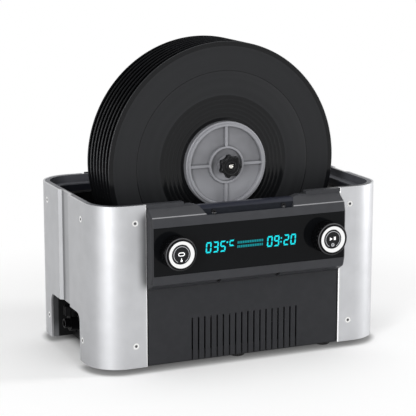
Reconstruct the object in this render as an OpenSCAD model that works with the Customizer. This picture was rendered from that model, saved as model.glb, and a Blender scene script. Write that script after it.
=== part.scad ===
// Tabletop record cleaning machine. Eight records hang on a motor driven spindle over a heated
// ultrasonic tank. +Z is up, +Y points to the rear, and the origin lies on the table below the
// centre of the body. Millimetres.

/* [Body] */
// Width of the body over its side shells
body_w = 385.4; // [370:0.1:400]
// Depth of the body, front panel to rear panel
body_d = 224.6; // [216:0.1:236]
// Height of the rim above the table
body_top = 204; // [200:0.5:212]
// Radius of the four upright corners
corner_r = 41.5; // [34:0.5:46]
// Wall of the aluminium side shells
shell_t = 2.5; // [1.5:0.1:3]
// Half of the span between the two shells, where the dark panels sit
split_x = 128.1; // [122:0.1:134]
// Depth of the hem that each shell turns inwards beside a panel
hem_d = 6; // [4:0.5:8]
// Half width of the upright channel pressed into each side
channel_half = 19; // [14:0.5:24]
// Depth of that channel
channel_depth = 4; // [2:0.25:4.5]
// Height of the rubber feet
foot_h = 7; // [5:0.5:10]
// Radius of the rubber feet
foot_r = 9.5; // [7:0.5:12]

/* [Side openings] */
// Half width of the opening at the foot of each side
portal_half = 54; // [44:1:58]
// Height of the top of that opening
portal_top = 65; // [58:0.5:70]
// Radius of its upper corners
portal_r = 10; // [4:0.5:16]
// Wall of the plastic tunnel behind each opening
liner_t = 2.5; // [1.5:0.1:3.5]
// How far that tunnel reaches into the body
liner_depth = 29.7; // [27:0.1:34]

/* [Rim and tank] */
// Width of the rim, skin included
rim_w = 8.3; // [7:0.1:10]
// Drop from the rim to the drip ledge
ledge_drop = 9.5; // [6:0.5:12]
// Width of the drip ledge
ledge_w = 10.3; // [8:0.1:13]
// Drop from the rim to the lower edge of the throat
throat_drop = 19; // [16:0.5:24]
// Wall of the rim moulding
bezel_t = 2.5; // [1.8:0.1:3]
// Inside length of the tank
tank_w = 320; // [312:1:324]
// Inside depth of the tank
tank_d = 172; // [160:1:174]
// Radius of the upright corners of the tank
tank_r = 25; // [15:1:40]
// Sheet of the tank
tank_t = 1.2; // [0.8:0.1:1.5]
// Height of the inside floor of the tank
tank_floor = 69; // [68:0.5:72]
// Thickness of the seal between tank and rim moulding
gasket_t = 1; // [0.6:0.1:1.5]

/* [Front] */
// Gap between a panel and the shell beside it
panel_gap = 1.8; // [0.6:0.1:3]
// Top of the slotted lower panel
lower_top = 100.9; // [96:0.1:101]
// Number of upright vent slots
vent_n = 18; // [10:1:19]
// Spacing of the vent slots
vent_pitch = 8.2; // [6:0.1:8.6]
// Width of one vent slot
vent_w = 2; // [1:0.1:3]
// Height of the top of the vent slots
vent_top = 60.5; // [40:0.5:70]

/* [Control housing] */
// How far the glass stands in front of the body
glass_reach = 16.5; // [14:0.1:18]
// How far the two long edges of the housing stand in front of the body
ridge_reach = 13.5; // [12:0.1:14]
// Height of the upper long edge
ridge_z = 190; // [186:0.5:192]
// Height of the top of the glass
glass_top = 178.5; // [176:0.5:181]
// Height of the bottom of the glass
glass_bottom = 120.3; // [116:0.1:124]
// Height of the lower long edge
chin_z = 109; // [106:0.5:111]
// Thickness of the glass
glass_t = 2; // [1.5:0.1:2.5]
// Wall of the housing
housing_t = 3.5; // [3:0.1:4]
// Half width of the notch in the top at its floor
notch_half = 62; // [50:1:66]

/* [Dials] */
// Distance of each dial from the middle
dial_x = 99.4; // [92:0.1:104]
// Height of the dial axes
dial_z = 149.5; // [146:0.1:152]
// Radius of the dial body
dial_r = 20; // [18:0.25:22]
// How far the dial's face stands in front of the glass
dial_reach = 20.9; // [18:0.1:22]
// Outer radius of the lit ring
ring_r = 17; // [16:0.1:18.5]
// Inner radius of the lit ring
ring_bore_r = 12.2; // [11:0.05:13.5]
// Travel of the push button in the middle of the dial
button_travel = 1.2; // [0.6:0.1:1.4]

/* [Records] */
// Radius of a twelve inch record
record_r = 151; // [125:1:151]
// Thickness of a record
record_t = 2; // [1.8:0.1:2.4]
// Front face of the first record, counted from the middle of the body
stack_front = -47.6; // [-50:0.1:-44]
// Spacing of the records
record_pitch = 10.5; // [9:0.1:11]
// Height of the spindle axis
spindle_z = 233; // [230:0.5:240]
// Radius of the spindle in the record holes
spindle_r = 3.55; // [3.4:0.05:3.6]
// Radius of the label discs between the records
label_r = 50; // [40:0.5:52]
// Radius of the two end clamps
clamp_r = 53.5; // [46:0.5:56]

/* [Star nut] */
// Number of lobes
lobe_n = 7; // [5:1:9]
// Radius over the lobes
lobe_r = 14.5; // [12:0.5:16]
// Radius of the spindle's threaded end
thread_r = 3; // [2.5:0.1:3.3]

/* [Drive head] */
// Half width of the drive head
head_half = 40; // [38:0.5:44]
// Height of the top of the drive head
head_top = 263; // [262:0.5:270]
// Height of the foot of the leg that hangs behind the body
leg_z = 120; // [116:0.5:130]
// How far the drive head stands out behind the body
head_reach = 37.4; // [37:0.1:44]
// Wall of the drive head
head_t = 2.5; // [2:0.1:3]
// Teeth of the gear on the spindle
gear_teeth = 48; // [44:1:48]
// Teeth of the motor pinion
pinion_teeth = 16; // [14:1:18]
// Size of the gear teeth, pitch diameter over tooth count
gear_module = 1; // [0.9:0.05:1]

/* [Drain] */
// Distance of the drain from the middle, along the depth
drain_y = 10; // [-20:1:24]
// Height of the drain pipe
drain_z = 36; // [30:0.5:37]
// Radius of the outlet
outlet_r = 6; // [5:0.5:7]

/* [Hidden] */

// Facets of preview arcs, and the small gaps between pieces
fine = 96;
small = 36;
seat = 0.1;
fit_gap = 0.3;
run_gap = 0.05;
over = 1;
SIDES = [-1, 1];
RECORDS = 8;

// Levels and planes of the body
half_w = body_w / 2;
front_y = -body_d / 2;
rear_y = body_d / 2;
tray_t = 1.5;
sheet_t = 1.6;
inner_gap = shell_t + fit_gap;
panel_half = split_x - panel_gap;
panel_recess = 1;
panel_bottom = foot_h + 1.2;
panel_back = front_y + panel_recess + sheet_t;
plate_front = panel_back + 0.2;
rear_panel_t = 2.1;
rear_panel_y = rear_y - 0.5 - rear_panel_t;
rear_rise = 1.2;
corner_wall_top = 42;
middle_wall_top = 20;
bar_z = body_top - 18;
bar_half = 86;
skirt_z = body_top - 32;

// Levels of the rim moulding and the tank
ledge_z = body_top - ledge_drop;
throat_z = body_top - throat_drop;
throat_half_x = half_w - rim_w - ledge_w;
throat_half_y = rear_y - rim_w - ledge_w;
flange_top = throat_z - gasket_t;
throat_r = corner_r - rim_w - ledge_w;
tank_under = tank_floor - tank_t;
post_r = 2.7;
post_sink = 0.4;
post_clear = 1;
post_x = max(throat_half_x + bezel_t - post_sink, tank_w / 2 + tank_t + post_clear) + post_r;
post_y = max(throat_half_y + bezel_t - post_sink, tank_d / 2 + tank_t + post_clear) + post_r;
flange_edge = 3.2;
flange_r = throat_r + 8;
liner_end = half_w - liner_depth;

// Screws of the shells: height of the two rows and places along the faces
screw_rows = [34, 183];
screw_x = 142.5;
screw_y = 63;
screw_r = 2;
screw_head_r = 4.1;
screw_head_h = 2.2;
screw_len = 7.5;
cap_head_r = 2.8;
boss_r = 5;
boss_len = 7;

// The control housing: planes, and its outline seen from the side, from the rim down
lip_back = plate_front - 0.1;
glass_y = front_y - glass_reach;
ridge_y = front_y - ridge_reach;
shoulder_z = body_top - 5;
foot_z = lower_top + 0.4;
housing_half = split_x - 0.1;
end_bevel = 2;
glass_half = housing_half - end_bevel;
housing_outline = [[lip_back, body_top], [front_y - 0.2, body_top],
    [front_y - 0.2, shoulder_z], [ridge_y, ridge_z], [glass_y, glass_top],
    [glass_y, glass_bottom], [ridge_y, chin_z], [front_y, foot_z], [lip_back, foot_z]];
// The notch seen from the front, and the hollow under it seen from the side
notch_step = 19;
notch_ramp = 8;
notch_z = body_top - 6;
notch_shelf_z = body_top - 3.5;
notch_depth_z = ridge_z - 1.3;
notch_lean = 5.5;
notch_screw_x = 46;
notch_screw_z = 191;
chin_screw_x = 39;
chin_screw_z = chin_z - 3;

// Dials, from the glass outwards
bush_r = 8;
bush_len = 9.7;
dial_back = glass_y - 0.5;
dial_front = glass_y - dial_reach + 1.3;
ring_front = glass_y - dial_reach;
ring_depth = 4;
cap_r = ring_bore_r - 0.35;
cap_len = 6;
cap_front = ring_front + 0.7;
stem_r = 3;
board_y = glass_y + 6;
board_t = 1.6;
board_half = 118;
encoder_half = 8;
encoder_t = 6;

// Records and clamps along the spindle
stack_rear = stack_front + record_pitch * (RECORDS - 1) + record_t;
hole_r = 3.62;
rim_bead = 0.25;
clamp_t = 9.4;
clamp_web = 4.9;
clamp_ring_in = 47.5;
clamp_step_r = clamp_r - 2.8;
hub_ring_r = 23.1;
hub_ring_t = 2.6;
rib_w = 3.3;
washer_r = 11;
washer_t = 2;
washer_back = stack_front - clamp_web - seat;
star_back = washer_back - washer_t - seat;
star_front = -71;
star_head = 7;
star_hub_r = 8.5;
star_step = 1;
star_turn = 3;
scallop_r = 8.5;
scallop_depth = 2.3;
scallop_mid_r = lobe_r - scallop_depth + scallop_r;
star_well_r = thread_r + 1.8;
star_well_depth = 2.2;
dish_in_r = 6.4;
dish_out_r = 9.6;
dish_depth = 0.7;
rod_end = star_front + 0.8;
rod_chamfer = 0.5;
thread_back = stack_front - 1;
slinger_r = 12;
rear_hub_len = 9;

// Drive head along the spindle
head_front = stack_rear + 30.1;
head_rear = rear_y + head_reach;
head_bottom = body_top + rear_rise + 0.4;
head_r = 12;
leg_half = 36;
leg_front = rear_panel_y + rear_panel_t + 2.1;
shaft_r = 4;
bearing_or = 11;
bearing_w = 7;
bearing_boss = bearing_or + 2.5;
rear_bearing_y = rear_y - 8.3;
gear_y = rear_y + 5.2;
gear_w = 6;
pitch_r = gear_module * gear_teeth / 2;
pinion_pitch_r = gear_module * pinion_teeth / 2;
pinion_z = spindle_z - pitch_r - pinion_pitch_r;
motor_y = rear_y + 15.7;
motor_len = 17;
motor_r = 24;
motor_drop = 12;
motor_shaft_r = 2.5;
web_t = 2.5;
cover_t = 2.5;
flange_half = 41;
flange_t = 2.4;
dock_gap = 0.4;
dock_t = 1.6;
dock_y = rear_panel_y + rear_panel_t;
gear_play = 0.12;

// Drain
knob_clear = 2.2;
knob_r = (liner_depth - liner_t - knob_clear - 1) / 2;
valve_x = -half_w + knob_clear + knob_r;
knob_h = 11;
knob_z = drain_z + 10.5;
sump_r = 13;
sump_x = max(sump_r + 1 - tank_w / 2, sump_r + 4 - liner_end);
heater_half_x = -sump_x - sump_r - 8;
heater_half_y = tank_d / 2 - 16;
fin_pitch = 12;
fin_clear = 17;

// Places of the feet and of the rear panel's screws
foot_places = [[-119, -70], [0, -88], [119, -88], [-119, 88], [0, 88], [119, 88]];
rear_screws = [[-116, 14], [116, 14], [-116, 190], [116, 190]];

// Ultrasonic transducers under the tank
horn_x = 75;
horn_y = 38;
horn_r = 23;
horn_h = 20;
piezo_h = 5;
piezo_r = 18.5;
piezo_bolt_r = 4;

// Bay between the tank and the rear panel
bay_front = tank_d / 2 + tank_t + 1.5;
pcb_back = rear_panel_y - 3;
bay_board_gap = 10;
bay_board_w = split_x - bay_board_gap - 10.1;
bay_board_h = 54;
bay_board_z = body_top - 34 - bay_board_h;

// Inlet module and fan on the rear panel
inlet_x = -80;
inlet_z = 44;
inlet_w = 27;
inlet_h = 47;
socket_z = inlet_z + 9.5;
rocker_z = inlet_z - 14;
rocker_w = 21;
rocker_h = 13;
rocker_tip = 9;
pivot_r = 1.5;
inlet_face = rear_panel_y + rear_panel_t + 2.5;
inlet_back = rear_panel_y - 20;
socket_floor = inlet_face - 16.5;
rocker_y = inlet_face - 2;
fan_x = 70;
fan_z = 42.5;
fan_size = 40;
fan_t = 15;
fan_bore_r = 18.5;
fan_hub_r = 8;
fan_blades = 7;

// Two dimensional helpers
module rounded(w, d, r) {
    square([w - 2 * r, d], center = true);
    square([w, d - 2 * r], center = true);
    for (sx = SIDES, sy = SIDES)
        translate([sx * (w / 2 - r), sy * (d / 2 - r)]) circle(r = r, $fn = fine);
}

module body_outline(inset) {
    rounded(body_w - 2 * inset, body_d - 2 * inset, corner_r - inset);
}

// The pressed channel of both sides, seen from above, at a depth inside the skin
module channels(inset) {
    half = channel_half + inset * tan(22.5);
    skin = half_w - inset;
    for (side = SIDES)
        polygon([[side * (skin + over), -half - over], [side * (skin + over), half + over],
            [side * (skin - channel_depth), half - channel_depth],
            [side * (skin - channel_depth), -half + channel_depth]]);
}

module ring_2d(outer, inner) {
    difference() {
        circle(r = outer, $fn = fine);
        circle(r = inner, $fn = fine);
    }
}

// Placing helpers: a flat outline given a thickness along X or Y, and rods along the axes
module along_x(x0, x1) {
    translate([x0, 0, 0]) rotate([90, 0, 90]) linear_extrude(x1 - x0) children();
}

module along_y(y0, y1) {
    translate([0, y1, 0]) rotate([90, 0, 0]) linear_extrude(y1 - y0) children();
}

module slab(z0, z1) {
    translate([0, 0, z0]) linear_extrude(z1 - z0) children();
}

module rod_y(r, y0, y1, facets = fine) {
    translate([0, y0, 0]) rotate([-90, 0, 0]) cylinder(r = r, h = y1 - y0, $fn = facets);
}

module rod_x(r, x0, x1) {
    translate([x0, 0, 0]) rotate([0, 90, 0]) cylinder(r = r, h = x1 - x0, $fn = small);
}

module box(low, high) {
    translate(low) cube(high - low);
}

// Turns an outline of radius and depth about the Y axis
module turned_y() {
    rotate([-90, 0, 0]) rotate_extrude($fn = fine) children();
}

// Moves every edge of an outline inwards; the outline runs with its inside on the left
function edge_normal(a, b) = [a[1] - b[1], b[0] - a[0]] / norm(b - a);
function crossed(a, b) = a[0] * b[1] - a[1] * b[0];
function meet(p, d, q, e) = p + d * crossed(q - p, e) / crossed(d, e);
function inset(points, t) = [
    for (i = [0:len(points) - 1])
        let (a = points[(i + len(points) - 1) % len(points)], b = points[i],
            c = points[(i + 1) % len(points)])
        meet(a + edge_normal(a, b) * t, b - a, b + edge_normal(b, c) * t, c - b)
];

// Side shells
module portal_2d(half, top, r, bottom) {
    translate([-half, bottom]) square([2 * half, top - r - bottom]);
    translate([r - half, bottom]) square([2 * (half - r), top - bottom]);
    for (side = SIDES)
        translate([side * (half - r), top - r]) circle(r = r, $fn = fine);
}

module screw_places() {
    for (z = screw_rows, sx = SIDES, sy = SIDES) {
        translate([sx * screw_x, sy * rear_y, z]) rotate([sy * 90, 0, 0]) children();
        translate([sx * half_w, sy * screw_y, z]) rotate([0, -sx * 90, 0]) children();
    }
}

module csk_hole() {
    translate([0, 0, -0.05]) {
        cylinder(r1 = screw_head_r + 0.15, r2 = screw_r + 0.15, h = screw_head_h, $fn = small);
        cylinder(r = screw_r + 0.15, h = screw_len + fit_gap + 0.15, $fn = small);
    }
}

module shell_2d() {
    bevel = 0.8;
    difference() {
        union() {
            intersection() {
                difference() {
                    body_outline(0);
                    channels(0);
                    difference() {
                        body_outline(shell_t);
                        channels(shell_t);
                    }
                }
                translate([split_x, -body_d]) square([body_w, 2 * body_d]);
            }
            for (low = [front_y + shell_t / 2, rear_y - hem_d])
                translate([split_x, low]) square([shell_t, hem_d - shell_t / 2]);
        }
        for (side = SIDES)
            polygon([[split_x - over, side * (rear_y + over)],
                [split_x + bevel + over, side * (rear_y + over)],
                [split_x - over, side * (rear_y - bevel - over)]]);
    }
}

module shell() {
    color("silver") difference() {
        slab(foot_h, body_top) shell_2d();
        along_x(0, body_w) portal_2d(portal_half, portal_top, portal_r, foot_h - over);
        screw_places() csk_hole();
    }
}

module right_shell() {
    shell();
}

module left_shell() {
    mirror([1, 0, 0]) shell();
}

// Plastic tunnels behind the side openings
module liner(with_drain) {
    inside = portal_half - 1;
    inside_top = portal_top - 1;
    color("dimgray") difference() {
        union() {
            along_x(liner_end, half_w - inner_gap)
                difference() {
                    portal_2d(inside + liner_t, inside_top + liner_t, portal_r + 1, foot_h + 0.2);
                    portal_2d(inside, inside_top, portal_r - 1, foot_h - over);
                }
            along_x(liner_end, liner_end + liner_t)
                portal_2d(inside + liner_t / 2, inside_top + liner_t / 2, portal_r, foot_h + 0.2);
            for (i = [-3:3])
                if (!with_drain || abs(i * fin_pitch - drain_y) > fin_clear)
                    box([liner_end + liner_t - seat, i * fin_pitch - 1, foot_h + 8],
                        [liner_end + liner_t + 2.5, i * fin_pitch + 1, inside_top + seat]);
        }
        slab(0, body_top) channels(inner_gap);
        if (with_drain)
            translate([0, drain_y, drain_z]) rod_x(8.4, liner_end - over, liner_end + liner_t + over);
    }
}

module right_liner() {
    liner(false);
}

module left_liner() {
    mirror([1, 0, 0]) liner(true);
}

// Sheet steel tray that everything stands on
module base_tray() {
    tunnel_half = portal_half + liner_t + 1;
    color("gray") difference() {
        union() {
            slab(foot_h, foot_h + tray_t) body_outline(inner_gap);
            slab(foot_h, corner_wall_top) difference() {
                body_outline(inner_gap);
                body_outline(inner_gap + tray_t);
            }
            intersection() {
                slab(foot_h, corner_wall_top) body_outline(inner_gap + seat);
                screw_places() cylinder(r = boss_r, h = boss_len + inner_gap, $fn = small);
            }
        }
        for (side = SIDES)
            box([side < 0 ? -half_w - over : liner_end - 1, -tunnel_half, 0],
                [side < 0 ? 1 - liner_end : half_w + over, tunnel_half, corner_wall_top + over]);
        for (side = SIDES)
            box([-split_x - fit_gap, side < 0 ? front_y - over : rear_y - 12, middle_wall_top],
                [split_x + fit_gap, side < 0 ? front_y + 12 : rear_y + over, corner_wall_top + over]);
        for (side = SIDES, end = SIDES)
            translate([side * (split_x + 3), end * rear_y, 0])
                cube([8, 2 * (hem_d + fit_gap), 4 * corner_wall_top], center = true);
        screw_places() csk_hole();
        rear_screw_places() csk_hole();
        for (i = [-4:4])
            box([i * 14 - 2, 40, foot_h - over], [i * 14 + 2, 76, foot_h + tray_t + over]);
    }
}

module feet() {
    color("black") for (place = foot_places)
        translate(place) difference() {
            rotate_extrude($fn = small)
                polygon([[0, 0], [foot_r - 1, 0], [foot_r, 1], [foot_r - 0.6, foot_h], [0, foot_h]]);
            translate([0, 0, -over]) cylinder(r = 3.5, h = 4, $fn = small);
        }
}

// Panels and inner plate between the two shells
module front_panel() {
    color("#3a3b3e") along_y(front_y + panel_recess, panel_back) difference() {
        translate([-panel_half, panel_bottom])
            square([2 * panel_half, lower_top - panel_bottom]);
        for (i = [0:vent_n - 1])
            translate([(i - (vent_n - 1) / 2) * vent_pitch - vent_w / 2, panel_bottom - over])
                square([vent_w, vent_top - panel_bottom + over]);
    }
}

module front_plate() {
    vents_half = vent_n * vent_pitch / 2;
    color("gray") difference() {
        along_y(plate_front, plate_front + sheet_t) difference() {
            translate([-panel_half, middle_wall_top + fit_gap])
                square([2 * panel_half, bar_z - middle_wall_top - 2 * fit_gap]);
            translate([-vents_half, middle_wall_top - over])
                square([2 * vents_half, vent_top - middle_wall_top + over]);
            translate([-board_half + 6, glass_bottom + 6])
                square([2 * board_half - 12, glass_top - glass_bottom - 12]);
        }
        for (side = SIDES)
            translate([side * chin_screw_x, 0, chin_screw_z])
                rod_y(screw_r + 0.15, plate_front - over, 0, small);
    }
}

module rear_screw_places() {
    for (place = rear_screws)
        translate([place[0], rear_panel_y + rear_panel_t, place[1]]) rotate([90, 0, 0]) children();
}

module rear_panel() {
    color("#3a3b3e") difference() {
        along_y(rear_panel_y, rear_panel_y + rear_panel_t) difference() {
            translate([-panel_half, panel_bottom])
                square([2 * panel_half, body_top + rear_rise - panel_bottom]);
            translate([inlet_x, inlet_z])
                square([inlet_w + 2 * fit_gap, inlet_h + 2 * fit_gap], center = true);
            intersection() {
                translate([fan_x, fan_z]) circle(r = fan_bore_r, $fn = fine);
                for (i = [-3:3])
                    translate([fan_x + i * 5 - 1.5, 0]) square([3, 2 * fan_z]);
            }
            for (i = [0:vent_n - 1])
                translate([(i - (vent_n - 1) / 2) * vent_pitch - vent_w / 2, 74])
                    square([vent_w, 30]);
        }
        rear_screw_places() csk_hole();
    }
}

// Rim moulding with its drip ledge and throat
module throat(extra) {
    rounded(2 * (throat_half_x + extra), 2 * (throat_half_y + extra), throat_r + extra);
}

module tank_screw_places() {
    for (sx = SIDES, sy = SIDES) {
        for (x = [40, 120])
            translate([sx * x, sy * post_y, 0]) children();
        translate([sx * post_x, sy * 34, 0]) children();
    }
}

module notch_2d() {
    polygon([[-notch_half - notch_step, body_top + over],
        [-notch_half - notch_step, notch_shelf_z], [-notch_half - notch_ramp, notch_shelf_z],
        [-notch_half, notch_z], [notch_half, notch_z],
        [notch_half + notch_ramp, notch_shelf_z], [notch_half + notch_step, notch_shelf_z],
        [notch_half + notch_step, body_top + over]]);
}

module tank_bezel() {
    color("#47484b") difference() {
        union() {
            slab(skirt_z, body_top) difference() {
                body_outline(inner_gap);
                body_outline(inner_gap + bezel_t);
            }
            slab(body_top - bezel_t, body_top) difference() {
                body_outline(inner_gap);
                body_outline(rim_w);
            }
            slab(ledge_z - bezel_t, body_top) difference() {
                body_outline(rim_w - bezel_t);
                body_outline(rim_w);
            }
            slab(ledge_z - bezel_t, ledge_z) difference() {
                body_outline(rim_w - bezel_t);
                throat(0);
            }
            slab(throat_z, ledge_z) difference() {
                throat(bezel_t);
                throat(0);
            }
            tank_screw_places()
                slab(flange_top + seat, ledge_z - seat) circle(r = post_r, $fn = small);
            intersection() {
                slab(skirt_z, body_top) body_outline(inner_gap + seat);
                screw_places() cylinder(r = boss_r, h = boss_len + inner_gap, $fn = small);
            }
            box([-bar_half, front_y + inner_gap, bar_z], [bar_half, front_y + rim_w, body_top - seat]);
        }
        slab(0, body_top + over) channels(inner_gap);
        box([-split_x - fit_gap, front_y, skirt_z - over],
            [split_x + fit_gap, front_y + rim_w - bezel_t, bar_z]);
        for (side = SIDES, end = SIDES)
            translate([side * (split_x + 1), end * rear_y, body_top])
                cube([4, 2 * (hem_d + fit_gap), 4 * throat_drop], center = true);
        along_y(front_y - over, front_y + rim_w + over) notch_2d();
        screw_places() csk_hole();
        tank_screw_places()
            slab(flange_top - over, ledge_z - bezel_t) circle(r = 1.55, $fn = small);
        for (side = SIDES)
            translate([side * notch_screw_x, 0, notch_screw_z])
                rod_y(screw_r + 0.15, front_y, front_y + rim_w - 1, small);
        rear_screw_places() csk_hole();
    }
}

module tank_gasket() {
    color("black") slab(flange_top, throat_z) difference() {
        throat(bezel_t - post_sink - seat);
        throat(0);
    }
}

// Stainless tank, and what is fixed below it
module tank() {
    color("lightgray") difference() {
        union() {
            slab(tank_under, flange_top)
                rounded(tank_w + 2 * tank_t, tank_d + 2 * tank_t, tank_r + tank_t);
            slab(flange_top - tank_t, flange_top)
                rounded(2 * (post_x + flange_edge), 2 * (post_y + flange_edge), flange_r);
        }
        slab(tank_floor, flange_top + over) rounded(tank_w, tank_d, tank_r);
        translate([sump_x, drain_y, 0])
            slab(tank_under - over, tank_floor + over) circle(r = 6.5, $fn = small);
        tank_screw_places()
            slab(flange_top - 2 * tank_t, flange_top + over) circle(r = 1.7, $fn = small);
    }
}

module horn_places() {
    for (sx = SIDES, sy = SIDES)
        translate([sx * horn_x, sy * horn_y, tank_under]) mirror([0, 0, 1]) children();
}

module heater_pad() {
    color("orangered") difference() {
        slab(tank_under - 1.5, tank_under) rounded(2 * heater_half_x, 2 * heater_half_y, 12);
        horn_places() translate([0, 0, -over]) cylinder(r = horn_r + fit_gap, h = 4, $fn = fine);
    }
}

module transducers() {
    stack = horn_h + 2 * piezo_h;
    color("silver") horn_places() rotate_extrude($fn = fine)
        polygon([[0, 0], [horn_r, 0], [horn_r, 3], [piezo_r, horn_h], [piezo_bolt_r, horn_h],
            [piezo_bolt_r, stack], [piezo_r, stack], [piezo_r, stack + 15], [6.5, stack + 15],
            [6.5, stack + 18], [0, stack + 18]]);
}

module piezo_rings() {
    color("khaki") horn_places() for (i = [0, 1])
        translate([0, 0, horn_h + i * piezo_h + i * 0.3]) difference() {
            cylinder(r = piezo_r - 0.5, h = piezo_h - 0.3, $fn = fine);
            translate([0, 0, -over]) cylinder(r = piezo_bolt_r + 1, h = piezo_h + 2, $fn = small);
        }
}

// Control housing on the front, with its notch, its window and the seats of its pieces
module end_bevels() {
    for (side = SIDES, i = [2:6]) {
        a = housing_outline[i];
        b = housing_outline[i + 1];
        reach = norm(b - a);
        translate([side * housing_half, a[0], a[1]])
            rotate([atan2(b[1] - a[1], b[0] - a[0]), 0, 0]) rotate([0, 45, 0])
                translate([-end_bevel / sqrt(2), -1, -end_bevel / sqrt(2)])
                    cube([end_bevel * sqrt(2), reach + 2, end_bevel * sqrt(2)]);
    }
}

module housing_hollow() {
    open_back = lip_back + housing_t + over;
    body = [for (i = [2:7]) housing_outline[i]];
    inner = inset(concat([[open_back, shoulder_z]], body, [[open_back, foot_z]]), housing_t);
    difference() {
        along_x(-housing_half + housing_t, housing_half - housing_t) polygon(inner);
        box([-bar_half, ridge_y, bar_z - 1], [bar_half, front_y + over, body_top]);
        for (side = SIDES) {
            translate([side * chin_screw_x, 0, chin_screw_z]) rod_y(boss_r, ridge_y, lip_back, small);
            for (z = [glass_bottom + 8, glass_top - 8])
                translate([side * board_half / 2, 0, z]) rod_y(3, glass_y, board_y - seat, small);
        }
    }
}

module notch_pocket() {
    intersection() {
        along_x(-notch_half, notch_half)
            polygon([[front_y + over, notch_z], [front_y, notch_z], [front_y - 6.7, notch_z - 3.5],
                [front_y - 9.2, notch_depth_z + 0.4], [glass_y, notch_depth_z],
                [glass_y, body_top + over], [front_y + over, body_top + over]]);
        along_y(glass_y, front_y + over)
            polygon([[notch_lean - notch_half, notch_depth_z - over],
                [notch_half - notch_lean, notch_depth_z - over],
                [notch_half, notch_z], [notch_half, body_top + over],
                [-notch_half, body_top + over], [-notch_half, notch_z]]);
    }
}

module control_housing() {
    color("#47484b") difference() {
        along_x(-housing_half, housing_half) polygon(housing_outline);
        end_bevels();
        housing_hollow();
        notch_pocket();
        along_y(ridge_y, lip_back + over) notch_2d();
        box([-glass_half - seat, glass_y - over, glass_bottom],
            [glass_half + seat, glass_y + glass_t, glass_top]);
        box([-dial_x + dial_r, glass_y, dial_z - 12], [dial_x - dial_r, board_y, dial_z + 12]);
        for (side = SIDES) {
            translate([side * dial_x, 0, dial_z])
                rod_y(bush_r + 0.4, glass_y, board_y - seat, fine);
            translate([side * notch_screw_x, 0, notch_screw_z]) {
                rod_y(screw_r + 0.15, glass_y, lip_back + over, small);
                rod_y(cap_head_r + fit_gap, glass_y, front_y - 6.5, small);
            }
            translate([side * chin_screw_x, 0, chin_screw_z]) {
                rod_y(screw_r + 0.15, glass_y, lip_back + over, small);
                rod_y(cap_head_r + fit_gap, glass_y, front_y - 4.5, small);
            }
        }
    }
}

module display_glass() {
    color("#1c1d1e") difference() {
        box([-glass_half, glass_y, glass_bottom + seat],
            [glass_half, glass_y + glass_t, glass_top - seat]);
        for (side = SIDES)
            translate([side * dial_x, 0, dial_z]) rod_y(bush_r + 0.4, glass_y - over, board_y, fine);
    }
}

// Circuit board behind the glass, with two digit blocks and its driver chips
module display_board() {
    color("darkgreen") difference() {
        union() {
            box([-board_half, board_y, glass_bottom + 4], [board_half, board_y + board_t, glass_top - 4]);
            for (x = [-61, 19])
                box([x, glass_y + glass_t + seat, dial_z - 9], [x + 42, board_y, dial_z + 9]);
            for (x = [-60, -20, 34])
                box([x, board_y + board_t, dial_z - 14], [x + 18, board_y + board_t + 2.4, dial_z]);
        }
        for (side = SIDES)
            translate([side * dial_x, 0, dial_z])
                rod_y(bush_r + 0.4, board_y - over, board_y + board_t + over, fine);
    }
}

// Rotary control behind each dial: its body, and the hollow bush that the dial turns on
module encoder() {
    back = board_y + board_t;
    color("silver") difference() {
        union() {
            translate([0, back + encoder_t / 2, 0])
                cube([2 * encoder_half, encoder_t, 2 * encoder_half], center = true);
            rod_y(bush_r, glass_y - bush_len, back + over, fine);
        }
        rod_y(stem_r + run_gap, glass_y - bush_len - over, back + encoder_t - 2, fine);
    }
}

module dial() {
    recess = cap_front + cap_len + button_travel + 0.6;
    groove = ring_front + ring_depth + seat;
    color("#101112") difference() {
        turned_y() polygon([[bush_r + run_gap, dial_back], [dial_r - 1, dial_back],
            [dial_r, dial_back - 1], [dial_r, dial_front + 1], [dial_r - 0.8, dial_front],
            [ring_r + seat, dial_front], [ring_r + seat, groove], [ring_bore_r, groove],
            [ring_bore_r, recess], [stem_r + 0.6, recess],
            [stem_r + 0.6, glass_y - bush_len - 0.5], [bush_r + run_gap, glass_y - bush_len - 0.5]]);
        for (i = [0:23])
            rotate([0, i * 15, 0]) translate([dial_r + 0.55, 0, 0])
                rod_y(1.2, dial_front + 3, dial_back + over, small);
    }
}

module light_ring() {
    color("white") turned_y()
        polygon([[ring_bore_r, ring_front + 0.6], [ring_bore_r + 0.6, ring_front],
            [ring_r - 0.6, ring_front], [ring_r, ring_front + 0.6],
            [ring_r, ring_front + ring_depth], [ring_bore_r, ring_front + ring_depth]]);
}

module button() {
    color("#1a1b1c") turned_y()
        polygon([[0, cap_front + 0.5], [cap_r - 3, cap_front + 0.4], [cap_r - 1, cap_front],
            [cap_r, cap_front + 0.8], [cap_r, cap_front + cap_len], [stem_r, cap_front + cap_len],
            [stem_r, board_y + board_t], [0, board_y + board_t]]);
}

module at_left_dial() {
    translate([-dial_x, 0, dial_z]) children();
}

module at_right_dial() {
    translate([dial_x, 0, dial_z]) children();
}

module left_encoder() {
    at_left_dial() encoder();
}

module right_encoder() {
    at_right_dial() encoder();
}

module left_dial() {
    at_left_dial() dial();
}

module right_dial() {
    at_right_dial() dial();
}

module left_light_ring() {
    at_left_dial() light_ring();
}

module right_light_ring() {
    at_right_dial() light_ring();
}

module left_button() {
    at_left_dial() button();
}

module right_button() {
    at_right_dial() button();
}

// Boards in the bay between the tank and the rear panel, drawn from their lower left corner
module bay_board() {
    w = bay_board_w;
    box([0, pcb_back - board_t, 0], [w, pcb_back, bay_board_h]);
    for (x = [5, w - 5], z = [5, bay_board_h - 5])
        translate([x, 0, z]) rod_y(2.5, pcb_back - seat, rear_panel_y, small);
}

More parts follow.
